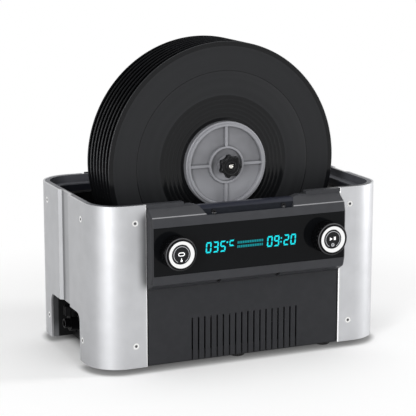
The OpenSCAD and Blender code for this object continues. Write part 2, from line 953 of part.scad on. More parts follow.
module generator_board() {
    face = pcb_back - board_t;
    color("darkgreen") translate([-bay_board_gap - bay_board_w, 0, bay_board_z]) {
        bay_board();
        box([6, bay_front, 6], [42, face + seat, 44]);
        for (x = [52, 70, 88])
            translate([x, 0, 16]) rod_y(7, bay_front + 3, face + seat, small);
        for (i = [0:5])
            box([48 + i * 9, bay_front + 2, 30], [52 + i * 9, face + seat, 48]);
    }
}

module power_supply() {
    face = pcb_back - board_t;
    color("goldenrod") translate([bay_board_gap, 0, bay_board_z]) {
        bay_board();
        box([8, bay_front + 1, 6], [38, face + seat, 36]);
        for (x = [52, 70])
            translate([x, 0, 18]) rod_y(8, bay_front, face + seat, small);
        box([84, bay_front + 4, 6], [102, face + seat, 48]);
    }
}

// Mains inlet with its switch, one module in the rear panel
module socket_2d(w, h, cut) {
    polygon([[-w / 2, -h / 2 + cut], [-w / 2 + cut, -h / 2], [w / 2 - cut, -h / 2],
        [w / 2, -h / 2 + cut], [w / 2, h / 2], [-w / 2, h / 2]]);
}

module power_inlet() {
    color("#202122") {
        difference() {
            union() {
                box([inlet_x - inlet_w / 2, inlet_back, inlet_z - inlet_h / 2],
                    [inlet_x + inlet_w / 2, inlet_face - over, inlet_z + inlet_h / 2]);
                along_y(rear_panel_y + rear_panel_t, inlet_face)
                    translate([inlet_x, inlet_z]) rounded(inlet_w + 5, inlet_h + 6, 3);
            }
            along_y(socket_floor, inlet_face + over)
                translate([inlet_x, socket_z]) socket_2d(24, 16, 4);
            box([inlet_x - rocker_w / 2, inlet_face - 12, rocker_z - rocker_h / 2],
                [inlet_x + rocker_w / 2, inlet_face + over, rocker_z + rocker_h / 2]);
            translate([0, rocker_y, rocker_z])
                rod_x(pivot_r + run_gap, inlet_x - rocker_w / 2 - 2, inlet_x + rocker_w / 2 + 2);
        }
        for (pin = [[-7, -1.5], [7, -1.5], [0, 3]])
            box([inlet_x + pin[0] - 1, socket_floor - over, socket_z + pin[1] - 2],
                [inlet_x + pin[0] + 1, inlet_face - 2, socket_z + pin[1] + 2]);
    }
}

// Rocker, stored switched off: tipped about its pivot
module power_rocker() {
    w = rocker_w / 2 - 0.4;
    h = rocker_h / 2 - 0.6;
    color("firebrick") translate([0, rocker_y, rocker_z]) {
        rotate([-rocker_tip, 0, 0]) along_x(inlet_x - w, inlet_x + w)
            polygon([[-5, -2.5], [-5, 2.5], [0, h - 0.3], [2.6, h - 0.6], [1, 0], [2.6, 0.6 - h],
                [0, 0.3 - h]]);
        rod_x(pivot_r, inlet_x - rocker_w / 2 - 1.8, inlet_x + rocker_w / 2 + 1.8);
    }
}

// Cooling fan under the tank, behind its grille
module fan_frame() {
    y1 = rear_panel_y - seat;
    y0 = y1 - fan_t;
    color("#202122") translate([fan_x, 0, fan_z]) difference() {
        union() {
            along_y(y0, y1) difference() {
                rounded(fan_size, fan_size, 3);
                circle(r = fan_bore_r, $fn = fine);
            }
            rod_y(fan_hub_r + 1, y1 - 4, y1, fine);
            for (i = [0:3])
                rotate([0, i * 90 + 45, 0]) box([fan_hub_r, y1 - 3, -1.2], [fan_bore_r + over, y1, 1.2]);
        }
        rod_y(pivot_r + run_gap, y1 - 5, y1 - 1, small);
        for (sx = SIDES, sz = SIDES)
            translate([sx * 16.5, 0, sz * 16.5]) rod_y(1.6, y0 - over, y1 + over, small);
    }
}

module fan_rotor() {
    y1 = rear_panel_y - seat - 4.6;
    y0 = y1 - fan_t + 5.4;
    color("#2a2b2c") translate([fan_x, 0, fan_z]) {
        rod_y(fan_hub_r, y0, y1, fine);
        rod_y(pivot_r, y1 - over, y1 + 3, small);
        intersection() {
            along_y(y0, y1) ring_2d(fan_bore_r - 0.8, fan_hub_r - 1);
            for (i = [0:fan_blades - 1])
                rotate([0, i * 360 / fan_blades, 0]) translate([0, (y0 + y1) / 2, 0])
                    rotate([38, 0, 0]) box([fan_hub_r - 1, -8, -0.7], [fan_bore_r, 8, 0.7]);
        }
    }
}

// Drain: pipe from the tank floor, ball valve in the left opening, and its ribbed knob
module drain_valve() {
    mouth = -half_w + 1.7;
    color("#2c2d2e") difference() {
        union() {
            translate([sump_x, drain_y, 0]) {
                slab(tank_under - 3, tank_under) circle(r = sump_r, $fn = small);
                slab(drain_z - 8, tank_under - 3 + seat) circle(r = 8, $fn = small);
                slab(tank_under - seat, tank_floor) circle(r = 6.3, $fn = small);
            }
            translate([0, drain_y, drain_z]) {
                rod_x(8, valve_x, sump_x);
                rod_x(10, valve_x - knob_r / 2, -liner_end - 3);
                rod_x(outlet_r, mouth, valve_x);
            }
            translate([valve_x, drain_y, 0]) {
                slab(drain_z, knob_z - 2) circle(r = 6, $fn = small);
                slab(drain_z, knob_z + knob_h - 3) circle(r = 3, $fn = small);
            }
        }
        translate([sump_x, drain_y, 0]) slab(drain_z, tank_floor + over) circle(r = 5, $fn = small);
        translate([0, drain_y, drain_z]) rod_x(4, mouth - over, sump_x);
    }
}

module drain_knob() {
    color("#303133") translate([valve_x, drain_y, knob_z]) difference() {
        cylinder(r = knob_r, h = knob_h, $fn = fine);
        translate([0, 0, -over]) cylinder(r = 3 + run_gap, h = knob_h - 1, $fn = small);
        for (i = [0:11])
            rotate(i * 30) translate([knob_r + 0.5, 0, -over])
                cylinder(r = 1.6, h = knob_h + 2 * over, $fn = small);
    }
}

// Bracket on the rear panel that the drive head slides down into
module drive_dock() {
    lip = leg_front + flange_t + dock_gap;
    side = flange_half + dock_gap;
    color("#3a3b3e") {
        box([-side - 3, dock_y, leg_z - 10], [side + 3, dock_y + dock_t, body_top - 4]);
        box([-leg_half, dock_y, leg_z - 10], [leg_half, lip + 12, leg_z - fit_gap]);
        for (i = SIDES)
            mirror([i < 0 ? 1 : 0, 0, 0]) {
                box([side, dock_y, leg_z - 10], [side + 3, lip + 2.5, body_top - 4]);
                box([leg_half + dock_gap, lip, leg_z - 10], [side + over, lip + 2.5, body_top - 4]);
            }
    }
}

// Fasteners
module csk_screw() {
    difference() {
        union() {
            translate([0, 0, 0.1]) cylinder(r1 = screw_head_r, r2 = screw_r, h = screw_head_h, $fn = small);
            translate([0, 0, 0.1]) cylinder(r = screw_r, h = screw_len, $fn = small);
        }
        translate([0, 0, -over]) cylinder(r = 1.4, h = 2.4, $fn = 6);
    }
}

module shell_screws() {
    color("silver") {
        screw_places() csk_screw();
        rear_screw_places() csk_screw();
    }
}

module cap_screw(head_y, end_y) {
    difference() {
        union() {
            rod_y(cap_head_r, head_y, head_y + 3, small);
            rod_y(screw_r, head_y + over, end_y, small);
        }
        translate([0, head_y, 0]) rotate([-90, 0, 0]) translate([0, 0, -over])
            cylinder(r = 1.5, h = 2.6, $fn = 6);
    }
}

module housing_screws() {
    color("silver") for (side = SIDES) {
        translate([side * notch_screw_x, 0, notch_screw_z])
            cap_screw(front_y - 6.6 - 3, front_y + rim_w - 1.5);
        translate([side * chin_screw_x, 0, chin_screw_z])
            cap_screw(front_y - 4.6 - 3, plate_front + sheet_t + 3);
    }
}

module tank_screws() {
    color("silver") tank_screw_places() {
        slab(flange_top - tank_t - 2.4, flange_top - tank_t) circle(r = 2.6, $fn = small);
        slab(flange_top - tank_t - over, ledge_z - bezel_t - 0.4) circle(r = 1.5, $fn = small);
    }
}

// Drive head: a box over the rear rim with a leg that hangs behind the body
module head_top_2d(shrink) {
    half = head_half - shrink;
    top = head_top - shrink;
    r = head_r - shrink;
    translate([-half, head_bottom + shrink]) square([2 * half, top - r - head_bottom - shrink]);
    translate([r - half, head_bottom + shrink]) square([2 * (half - r), top - head_bottom - shrink]);
    for (side = SIDES)
        translate([side * (half - r), top - r]) circle(r = r, $fn = fine);
}

module leg_2d(shrink) {
    translate([shrink - leg_half, leg_z + shrink])
        square([2 * (leg_half - shrink), head_bottom + 2 * shrink - leg_z + over]);
}

module bearing_seat(y) {
    rod_y(bearing_or + run_gap, y, y + bearing_w, fine);
}

module drive_housing() {
    color("#2b2c2e") difference() {
        union() {
            along_y(head_front, head_rear) head_top_2d(0);
            along_y(leg_front, head_rear) leg_2d(0);
            for (side = SIDES)
                box([side < 0 ? -flange_half : leg_half - over, leg_front, leg_z],
                    [side < 0 ? over - leg_half : flange_half, leg_front + flange_t, body_top - 4]);
        }
        difference() {
            union() {
                along_y(head_front + head_t, head_rear + over) head_top_2d(head_t);
                along_y(leg_front + head_t, head_rear + over) leg_2d(head_t);
            }
            translate([0, 0, spindle_z]) {
                rod_y(bearing_boss, head_front, head_front + bearing_w + 2, fine);
                rod_y(bearing_boss, rear_bearing_y - 1, rear_bearing_y + bearing_w, fine);
            }
            along_y(rear_bearing_y, rear_bearing_y + web_t) head_top_2d(0);
            along_y(motor_y - web_t, motor_y) intersection() {
                leg_2d(0);
                translate([-head_half, pinion_z - motor_drop - motor_r - 6])
                    square([2 * head_half, motor_r + motor_drop + 6]);
            }
        }
        translate([0, 0, spindle_z]) {
            rod_y(shaft_r + 0.5, head_front - over, gear_y, fine);
            bearing_seat(head_front + 1.5);
            bearing_seat(rear_bearing_y + fit_gap);
        }
        translate([0, 0, pinion_z]) rod_y(motor_shaft_r + 3, gear_y + gear_w, motor_y + over, fine);
    }
}

module drive_cover() {
    lip = head_t + 0.2;
    color("#2b2c2e") {
        along_y(head_rear - cover_t, head_rear) {
            head_top_2d(lip);
            leg_2d(lip);
        }
        for (side = SIDES)
            box([side < 0 ? lip - leg_half : leg_half - lip - 2, head_rear - cover_t - 5, leg_z + 8],
                [side < 0 ? lip - leg_half + 2 : leg_half - lip, head_rear - over, body_top]);
    }
}

module head_bearings() {
    color("silver") for (y = [head_front + 1.5, rear_bearing_y + fit_gap])
        translate([0, y, spindle_z]) turned_y()
            polygon([[shaft_r + run_gap, 0], [shaft_r + 2.4, 0], [shaft_r + 2.4, 0.5],
                [bearing_or - 2.2, 0.5], [bearing_or - 2.2, 0], [bearing_or, 0],
                [bearing_or, bearing_w], [bearing_or - 2.2, bearing_w],
                [bearing_or - 2.2, bearing_w - 0.5], [shaft_r + 2.4, bearing_w - 0.5],
                [shaft_r + 2.4, bearing_w], [shaft_r + run_gap, bearing_w]]);
}

// Geared motor, its shaft set above the middle of its round case
module gear_motor() {
    color("silver") difference() {
        union() {
            translate([0, 0, pinion_z - motor_drop]) rod_y(motor_r, motor_y, motor_y + motor_len, fine);
            for (side = SIDES)
                box([side < 0 ? -motor_r - 6 : motor_r - 4, motor_y, pinion_z - motor_drop - 4],
                    [side < 0 ? 4 - motor_r : motor_r + 6, motor_y + 1.2, pinion_z - motor_drop + 4]);
        }
        translate([0, 0, pinion_z]) rod_y(motor_shaft_r + run_gap, motor_y - over, motor_y + 8, small);
    }
}

// Involute teeth: half the angle of a tooth at radius r, in degrees
function roll(r, base) = r <= base ? 0 : let (a = acos(base / r)) tan(a) * 180 / PI - a;
function tooth_half(r, teeth, mod, play) =
    let (pitch = mod * teeth / 2, base = pitch * cos(20))
    90 / teeth - play / pitch * 90 / PI + roll(pitch, base) - roll(r, base);
function gear_points(teeth, mod, play) =
    let (pitch = mod * teeth / 2, base = pitch * cos(20),
        radii = [pitch - 1.25 * mod, max(pitch - 0.7 * mod, base), pitch, pitch + 0.5 * mod, pitch + mod])
    [for (i = [0:teeth - 1], side = SIDES, k = [0:4])
        let (r = radii[side < 0 ? k : 4 - k], a = i * 360 / teeth + side * tooth_half(r, teeth, mod, play))
        [r * cos(a), r * sin(a)]];

module motor_pinion() {
    color("khaki") translate([0, 0, pinion_z]) {
        along_y(gear_y, gear_y + gear_w) rotate(90)
            polygon(gear_points(pinion_teeth, gear_module, gear_play));
        rod_y(motor_shaft_r + 2, gear_y + gear_w - over, gear_y + gear_w + 2, fine);
        rod_y(motor_shaft_r, gear_y + over, motor_y + 7, small);
    }
}

module spindle_gear() {
    color("ivory") translate([0, 0, spindle_z]) difference() {
        union() {
            along_y(gear_y + 0.5, gear_y + gear_w - 0.5) rotate(90 + 180 / gear_teeth)
                polygon(gear_points(gear_teeth, gear_module, gear_play));
            rod_y(shaft_r + 4, gear_y - 3, gear_y + gear_w + 2, fine);
        }
        rod_y(shaft_r + run_gap, gear_y - 4, gear_y + gear_w + 4, fine);
        for (i = [0:5])
            rotate([0, i * 60, 0]) translate([pitch_r * 0.6, 0, 0])
                rod_y(4.5, gear_y - over, gear_y + gear_w + over, fine);
    }
}

// Spindle: threaded end, stem through the records, drip collar, shaft in the bearings
module spindle() {
    collar = head_front - 6;
    color("silver") translate([0, 0, spindle_z]) turned_y()
        polygon([[0, rod_end], [thread_r - rod_chamfer, rod_end], [thread_r, rod_end + rod_chamfer],
            [thread_r, thread_back], [spindle_r, thread_back], [spindle_r, stack_rear + 1],
            [shaft_r, stack_rear + 1], [shaft_r, collar], [slinger_r, collar],
            [slinger_r, collar + 2], [shaft_r, collar + 2], [shaft_r, gear_y + gear_w + 3],
            [0, gear_y + gear_w + 3]]);
}

// Records: raised label area and rim, thinner grooved band between
module record(k) {
    color("#2a2b2c") translate([0, stack_front + k * record_pitch, spindle_z]) turned_y()
        polygon([[hole_r, 0], [label_r + 1, 0], [label_r + 4, rim_bead], [record_r - 5, rim_bead],
            [record_r - 3.5, 0], [record_r - 0.7, 0], [record_r, 0.7],
            [record_r, record_t - 0.7], [record_r - 0.7, record_t], [record_r - 3.5, record_t],
            [record_r - 5, record_t - rim_bead], [label_r + 4, record_t - rim_bead],
            [label_r + 1, record_t], [hole_r, record_t]]);
}

module record_1() {
    record(0);
}

module record_2() {
    record(1);
}

module record_3() {
    record(2);
}

module record_4() {
    record(3);
}

module record_5() {
    record(4);
}

module record_6() {
    record(5);
}

module record_7() {
    record(6);
}

module record_8() {
    record(7);
}

// Discs between the records that cover their labels, each with a seal lip on both faces
module label_discs() {
    width = record_pitch - record_t;
    color("#1b1c1d") for (k = [0:RECORDS - 2])
        translate([0, stack_front + k * record_pitch + record_t, spindle_z]) turned_y()
            polygon([[spindle_r + run_gap, 0], [8, 0], [8, 2.5], [label_r - 5, 2.5], [label_r - 3, 0],
                [label_r, 0], [label_r, width], [label_r - 3, width], [label_r - 5, width - 2.5],
                [8, width - 2.5], [8, width], [spindle_r + run_gap, width]]);
}

// End clamps: a web with a stepped rim, a hub ring and four ribs
module clamp_body() {
    turned_y() polygon([[thread_r + 0.8, -clamp_web], [hub_ring_r - hub_ring_t, -clamp_web],
        [hub_ring_r - hub_ring_t, -clamp_t], [hub_ring_r, -clamp_t], [hub_ring_r, -clamp_web],
        [clamp_ring_in, -clamp_web], [clamp_ring_in, 0.4 - clamp_t], [clamp_ring_in + 0.4, -clamp_t],
        [clamp_step_r, -clamp_t], [clamp_step_r, 1.6 - clamp_t], [clamp_r - 0.6, 1.6 - clamp_t],
        [clamp_r, 2.2 - clamp_t], [clamp_r, 0], [clamp_r - 6, 0], [clamp_r - 8, -1.5],
        [thread_r + 0.8, -1.5]]);
    for (i = [0:3])
        rotate([0, i * 90, 0])
            box([hub_ring_r - over, 0.8 - clamp_t, -rib_w / 2],
                [clamp_ring_in + over, seat - clamp_web, rib_w / 2]);
}

module front_clamp() {
    color("#8f9095") translate([0, stack_front, spindle_z]) clamp_body();
}

module rear_clamp() {
    color("#8f9095") translate([0, stack_rear, spindle_z]) difference() {
        union() {
            mirror([0, 1, 0]) clamp_body();
            rod_y(shaft_r + 4, clamp_web - seat, clamp_t + rear_hub_len, fine);
        }
        rod_y(shaft_r + run_gap, -over, clamp_t + rear_hub_len + over, fine);
    }
}

// Star nut that presses the stack together, and the washer it bears on
module clamp_washer() {
    color("#101112") translate([0, 0, spindle_z]) difference() {
        rod_y(washer_r, star_back + seat, washer_back, fine);
        rod_y(thread_r + fit_gap, star_back, washer_back + over, fine);
    }
}

module star_2d(shrink) {
    difference() {
        circle(r = lobe_r - shrink, $fn = fine);
        for (i = [0:lobe_n - 1])
            rotate((i + 0.5) * 360 / lobe_n - star_turn) translate([scallop_mid_r, 0])
                circle(r = scallop_r + shrink, $fn = fine);
    }
}

module star_knob() {
    color("#17181a") translate([0, 0, spindle_z]) difference() {
        union() {
            along_y(star_front, star_front + star_step + over) star_2d(star_step);
            along_y(star_front + star_step, star_front + star_head) star_2d(0);
            rod_y(star_hub_r, star_front + star_head - over, star_back, fine);
        }
        along_y(star_front - over, star_front + dish_depth) ring_2d(dish_out_r, dish_in_r);
        rod_y(thread_r + run_gap, star_front - over, star_back + over, fine);
        rod_y(star_well_r, star_front - over, star_front + star_well_depth, fine);
    }
}

left_shell();
right_shell();
left_liner();
right_liner();
base_tray();
feet();
front_panel();
front_plate();
rear_panel();
tank_bezel();
tank_gasket();
tank();
heater_pad();
transducers();
piezo_rings();
control_housing();
display_glass();
display_board();
left_encoder();
right_encoder();
left_dial();
right_dial();
left_light_ring();
right_light_ring();
left_button();
right_button();
generator_board();
power_supply();
power_inlet();
power_rocker();
fan_frame();
fan_rotor();
drain_valve();
drain_knob();
drive_dock();
shell_screws();
housing_screws();
tank_screws();
drive_housing();
drive_cover();
gear_motor();
motor_pinion();
head_bearings();
spindle();
spindle_gear();
rear_clamp();
record_1();
record_2();
record_3();
record_4();
record_5();
record_6();
record_7();
record_8();
label_discs();
front_clamp();
clamp_washer();
star_knob();
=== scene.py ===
"""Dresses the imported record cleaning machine: finishes for its solids, and finer pieces."""

import math

import bmesh
import bpy
from bpy.props import FloatProperty, FloatVectorProperty, IntProperty, PointerProperty
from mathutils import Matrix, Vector


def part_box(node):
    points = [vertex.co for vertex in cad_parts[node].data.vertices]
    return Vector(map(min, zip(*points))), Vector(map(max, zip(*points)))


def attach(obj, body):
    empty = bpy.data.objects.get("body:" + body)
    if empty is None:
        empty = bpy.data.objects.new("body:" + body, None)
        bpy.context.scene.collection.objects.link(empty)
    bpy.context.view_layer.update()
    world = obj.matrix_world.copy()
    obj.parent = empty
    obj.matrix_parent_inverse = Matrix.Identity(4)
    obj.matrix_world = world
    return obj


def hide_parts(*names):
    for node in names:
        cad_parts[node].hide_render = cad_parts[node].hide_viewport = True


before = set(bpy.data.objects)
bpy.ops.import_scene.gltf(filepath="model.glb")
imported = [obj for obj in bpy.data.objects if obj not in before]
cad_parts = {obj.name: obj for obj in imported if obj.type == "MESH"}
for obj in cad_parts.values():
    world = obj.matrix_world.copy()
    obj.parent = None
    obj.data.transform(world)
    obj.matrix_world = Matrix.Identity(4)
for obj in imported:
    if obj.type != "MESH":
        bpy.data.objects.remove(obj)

bl_info = {
    "name": "Record cleaning machine",
    "version": (1, 0, 0),
    "blender": (4, 5, 0),
    "location": "View3D > Sidebar > Record cleaner",
    "description": "Finishes, display, icons and records for the record cleaning machine",
    "category": "Add Mesh",
}

MM = 0.001


def middle(node):
    """Middle of a CAD node's box."""
    low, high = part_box(node)
    return (low + high) / 2


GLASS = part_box("display_glass")[0]  # front left corner
CAP_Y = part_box("left_button")[0].y
SPINDLE = middle("front_clamp")
CLAMP_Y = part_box("front_clamp")[0].y
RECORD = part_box("record_1")
RECORD_R = (RECORD[1].x - RECORD[0].x) / 2
RECORD_T = RECORD[1].y - RECORD[0].y
STACK_Y = min(RECORD[0].y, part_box("record_8")[0].y)  # front face of the stack
BODY_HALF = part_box("right_shell")[1]  # half the body's width and depth

# Measures of the solids that their boxes don't give
BODY_CORNER = 41.5 * MM  # radius of the body's upright corners
CHANNEL_HALF = 19 * MM  # half width of the upright channel pressed into each side shell
HEM_X = 129.2 * MM  # the shells' pale hems lie within this x
HEM_Y = 110.8 * MM  # and beyond this y
SCREW_X = 142.5 * MM  # shell screws in front and behind
SCREW_Y = 63 * MM  # shell screws on the sides
SCREW_MID_Z = 108.5 * MM
SCREW_HALF_Z = 74.5 * MM
NOTCH_FOOT = 188.7 * MM  # lower and upper ends of the notch in the housing
NOTCH_TOP = 198.5 * MM
NOTCH_HALF = 56.7 * MM  # its half width at its foot
NOTCH_SLOPE = 0.59  # how its ends spread with height
NOTCH_BACK = -103.4 * MM
RIDGE_Z = 190.0 * MM  # upper ridge of the housing's front
RIDGE_BACK = -125.0 * MM
FLANK_BACK = -113.0 * MM  # where the side of the housing meets the shells
RIM_FRONT = -99.0 * MM  # front of the rim moulding inside the housing
LEDGE_Z = 193.0 * MM  # its drip ledge
TUNNEL_MOUTH = 184.6 * MM
DIAL_R = 18.9 * MM  # chamfer round a dial's front
RECORD_EDGE = 151.0 * MM  # nominal radius of a record, where its box is that of facets
RING_PITCH = 5.2 * MM  # rings in the run-out of a record

WHITE = (1.0, 1.0, 1.0)
BLACK = (0.0, 0.0, 0.0)


def scaled(tint, times, plus=0.0):
    """A colour made lighter or darker."""
    return tuple(min(1.0, c * times + plus) for c in tint)


def length(name, value, about):
    return FloatProperty(
        name=name, description=about, default=value, min=0.0, unit="LENGTH", precision=5
    )


def colour(name, value, about):
    return FloatVectorProperty(
        name=name, description=about, default=value, min=0.0, max=1.0, subtype="COLOR"
    )


def share(name, value, about, high=1.0):
    return FloatProperty(name=name, description=about, default=value, min=0.0, max=high)


# Settings


class BodySettings(bpy.types.PropertyGroup):
    aluminium: colour("Aluminium", (0.540, 0.545, 0.560), "Anodised side shells")
    shell_roughness: share("Shell roughness", 0.46, "Sheen of the side shells")
    housing: colour("Housing", (0.0345, 0.0355, 0.0400), "Moulded housing and rim")
    panel: colour("Panel", (0.0200, 0.0207, 0.0235), "Painted front and rear panels")
    liner: colour("Tunnel", (0.050, 0.051, 0.053), "Plastic tunnels in the side openings")
    edge_round: length("Edge rounding", 0.45 * MM, "Rounding of moulded and cut edges")


class DisplaySettings(bpy.types.PropertyGroup):
    glass: colour("Glass", (0.0042, 0.0046, 0.0054), "Black printed glass")
    lit: colour("Digits", (0.011, 0.776, 0.871), "Lit segments")
    digit_height: length("Digit height", 13.3 * MM, "Height of the large digits")
    digit_width: length("Digit width", 7.3 * MM, "Width of the large digits")
    stroke: length("Stroke", 1.8 * MM, "Width of one segment")
    slant: FloatProperty(
        name="Slant", description="Lean of the digits", default=math.radians(4), subtype="ANGLE"
    )


class DialSettings(bpy.types.PropertyGroup):
    body: colour("Dial", (0.0022, 0.0023, 0.0026), "Dial bodies")
    cap: colour("Button", (0.0052, 0.0058, 0.0070), "Push buttons in the dials")
    icon: colour("Icons", (0.88, 0.88, 0.89), "Printed icons")
    scale: colour("Scales", (0.34, 0.345, 0.36), "Printed arcs round the icons")
    ring_edge: length("Ring edge", 15.95 * MM, "Radius where the light of a ring ends")
    glow: share("Ring glow", 0.90, "Brightness of the lit rings", 4.0)


class RecordSettings(bpy.types.PropertyGroup):
    vinyl: colour("Vinyl", (0.0142, 0.0148, 0.0162), "Grooved face of the records")
    gloss: colour("Smooth vinyl", (0.0062, 0.0065, 0.0072), "Run-out, track gap and bead")
    groove_pitch: length("Groove pitch", 0.9 * MM, "Spacing of the grooves that show")
    run_out: length("Run-out", 85.0 * MM, "Radius where the smooth run-out begins")
    track_gap: length("Track gap", 115.0 * MM, "Radius of the gap between two tracks")
    bead: length("Bead", 145.0 * MM, "Radius where the outer bead begins")
    facets: IntProperty(name="Facets", description="Facets round a record", default=256, min=64)


class ClampSettings(bpy.types.PropertyGroup):
    grey: colour("Clamp", (0.190, 0.192, 0.206), "Clamps at both ends and the washer")
    knob: colour("Star nut", (0.0045, 0.0047, 0.0052), "Star nut")
    steel: colour("Steel", (0.62, 0.61, 0.59), "Threaded spindle")


class StageSettings(bpy.types.PropertyGroup):
    lens: FloatProperty(name="Lens", description="Focal length", default=136.06, unit="CAMERA")
    eye: FloatVectorProperty(
        name="Camera place", default=(-0.7889, -1.7836, 0.5766), subtype="TRANSLATION",
        description="Where the camera stands",
    )
    target: FloatVectorProperty(
        name="Camera target", default=(0.0, 0.0, 0.1681), subtype="TRANSLATION",
        description="Point in the middle of the picture",
    )
    floor: colour("Floor", (0.80, 0.80, 0.80), "Floor of the stage")
    lift: share("Floor lift", 0.225, "Brightness the camera sees added to the floor")
    room: share("Room light", 0.50, "Level light from all round", 4.0)


# Shader maths


def maths(operation, reflected=False):
    """A method of Value that adds this Math node, its two inputs swapped when reflected."""

    def method(self, *others):
        inputs = (*others, self) if reflected else (self, *others)
        return self.finish.node(
            "ShaderNodeMath", {"operation": operation}, dict(enumerate(inputs))
        )

    return method


class Value:
    """One output in a material's nodes. Sums and products of values add Math nodes."""

    def __init__(self, finish, socket):
        self.finish = finish
        self.socket = socket

    __add__ = __radd__ = maths("ADD")
    __mul__ = __rmul__ = maths("MULTIPLY")
    __sub__ = maths("SUBTRACT")
    __rsub__ = maths("SUBTRACT", reflected=True)
    __truediv__ = maths("DIVIDE")
    __rtruediv__ = maths("DIVIDE", reflected=True)
    __gt__ = maths("GREATER_THAN")
    __lt__ = maths("LESS_THAN")
    __abs__ = maths("ABSOLUTE")
    at_least = maths("MAXIMUM")
    at_most = maths("MINIMUM")
    root = maths("SQRT")
    sine = maths("SINE")

    def waves(self, period):
        """Sine of this length with a period in metres."""
        return (self * (2 * math.pi / period)).sine()

    def clamped(self):
        return self.finish.node("ShaderNodeClamp", {}, {"Value": self})

    def between(self, low, high, to_low=0.0, to_high=1.0):
        """This value from low to high, mapped smoothly to the two other ends."""
        return self.finish.node(
            "ShaderNodeMapRange", {"interpolation_type": "SMOOTHSTEP"},
            {"Value": self, "From Min": low, "From Max": high,
             "To Min": to_low, "To Max": to_high},
        )


class Finish:
    """A material or world that is being made: its nodes, its shader and what they share."""

    def __init__(self, name, world=False):
        self.made = (bpy.data.worlds if world else bpy.data.materials).new(name)
        self.made.use_nodes = True
        self.tree = self.made.node_tree
        self.tree.nodes.clear()
        self.output = "ShaderNodeOutputWorld" if world else "ShaderNodeOutputMaterial"
        self.coordinates = None

    def node(self, kind, settings=None, sockets=None, out=0):
        """Adds a node, sets its settings and sockets, and returns one output if it has any."""
        made = self.tree.nodes.new(kind)
        for key, value in (settings or {}).items():
            setattr(made, key, value)
        for key, value in (sockets or {}).items():
            self.feed(made.inputs[key], value)
        return Value(self, made.outputs[out]) if made.outputs else None

    def feed(self, socket, value):
        if isinstance(value, Value):
            self.tree.links.new(value.socket, socket)
        elif socket.type == "RGBA" and len(value) == 3:
            socket.default_value = (*value, 1.0)
        else:
            socket.default_value = value

    def place(self):
        """The point on the object at rest, which rides along with it."""
        if self.coordinates is None:
            self.coordinates = self.node("ShaderNodeTexCoord", {}, {}, "Object")
        return self.coordinates

    def axes(self):
        parted = self.node("ShaderNodeSeparateXYZ", {}, {0: self.place()}).socket.node
        return [Value(self, output) for output in parted.outputs]

    def noise(self, size, detail=2.0, rough=0.5, stretch=(1.0, 1.0, 1.0)):
        """Noise with spots of about this size in metres."""
        place = self.node(
            "ShaderNodeVectorMath", {"operation": "MULTIPLY"}, {0: self.place(), 1: stretch}
        )
        return self.node(
            "ShaderNodeTexNoise", {},
            {"Vector": place, "Scale": 1.0 / size, "Detail": detail, "Roughness": rough},
        )

    def pits(self, size):
        """Cell pattern with cells of about this size in metres: 0 in the middle of a cell."""
        return self.node(
            "ShaderNodeTexVoronoi", {"feature": "F1"},
            {"Vector": self.place(), "Scale": 1.0 / size},
        )

    def radius(self, centre, axis="y"):
        """Distance from an axis through centre."""
        axes = self.axes()
        u, v = (axes[i] - centre[i] for i in range(3) if "xyz"[i] != axis)
        return (u * u + v * v).root()

    def mix(self, factor, first, second):
        return self.node(
            "ShaderNodeMix", {"data_type": "RGBA"}, {0: factor, 6: first, 7: second}, 2
        )

    def mix_numbers(self, factor, first, second):
        return self.node("ShaderNodeMix", {"data_type": "FLOAT"}, {0: factor, 2: first, 3: second})

    def mix_shaders(self, factor, first, second):
        return self.node("ShaderNodeMixShader", {}, {0: factor, 1: first, 2: second})

    def layers(self, tint, *coats):
        """A colour with coats over it in turn, each a mask and its colour."""
        for mask, coat in coats:
            tint = self.mix(mask, tint, coat)
        return tint

    def tinted(self, base, spread, size):
        """A colour that wanders by a share of itself over patches of this size."""
        patches = self.noise(size, 3.0).between(0.3, 0.7)
        return self.mix(patches, scaled(base, 1.0 - spread), scaled(base, 1.0 + spread))

    def edges(self, radius):
        """1 along rounded and cut edges, 0 on open faces."""
        soft = self.node("ShaderNodeBevel", {"samples": 4}, {"Radius": radius})
        true = self.node("ShaderNodeNewGeometry", {}, {}, "Normal")
        along = self.node(
            "ShaderNodeVectorMath", {"operation": "DOT_PRODUCT"}, {0: soft, 1: true}, 1
        )
        return (1.0 - along).between(0.02, 0.22)

    def bump(self, height, depth):
        """Normal from a height in units of depth metres."""
        return self.node("ShaderNodeBump", {}, {"Height": height, "Distance": depth})

    def grain(self, size, depth, level, spread):
        """Roughness and normal of a fine grain, as sockets of a principled shader."""
        fine = self.noise(size)
        return {"roughness": level + (fine - 0.5) * spread, "normal": self.bump(fine, depth)}

    def background_rays(self):
        """1 for what the camera sees straight, in a gloss or through glass; 0 for light."""
        rays = [
            self.node("ShaderNodeLightPath", {}, {}, f"Is {kind} Ray")
            for kind in ("Camera", "Glossy", "Transmission")
        ]
        return (rays[0] + rays[1] + rays[2]).clamped()

    def surface(self, shader):
        """Puts a shader on the output and returns the finished material or world."""
        self.node(self.output, {}, {"Surface": shader})
        return self.made

    def principled(self, **sockets):
        """A principled shader with these sockets."""
        named = {
            key.replace("_", " ").title().replace("Ior", "IOR"): value
            for key, value in sockets.items()
        }
        return self.node("ShaderNodeBsdfPrincipled", {}, named)

    def shade(self, **sockets):
        """Puts a principled shader with these sockets on the output."""
        return self.surface(self.principled(**sockets))

    def recess(self, distance, shut, open_):
        """1 deep inside narrow places, 0 on open faces, from how much sky is hidden."""
        seen = self.node(
            "ShaderNodeAmbientOcclusion", {"samples": 6, "only_local": True},
            {"Distance": distance}, "AO",
        )
        return 1.0 - seen.between(shut, open_)


# Finishes


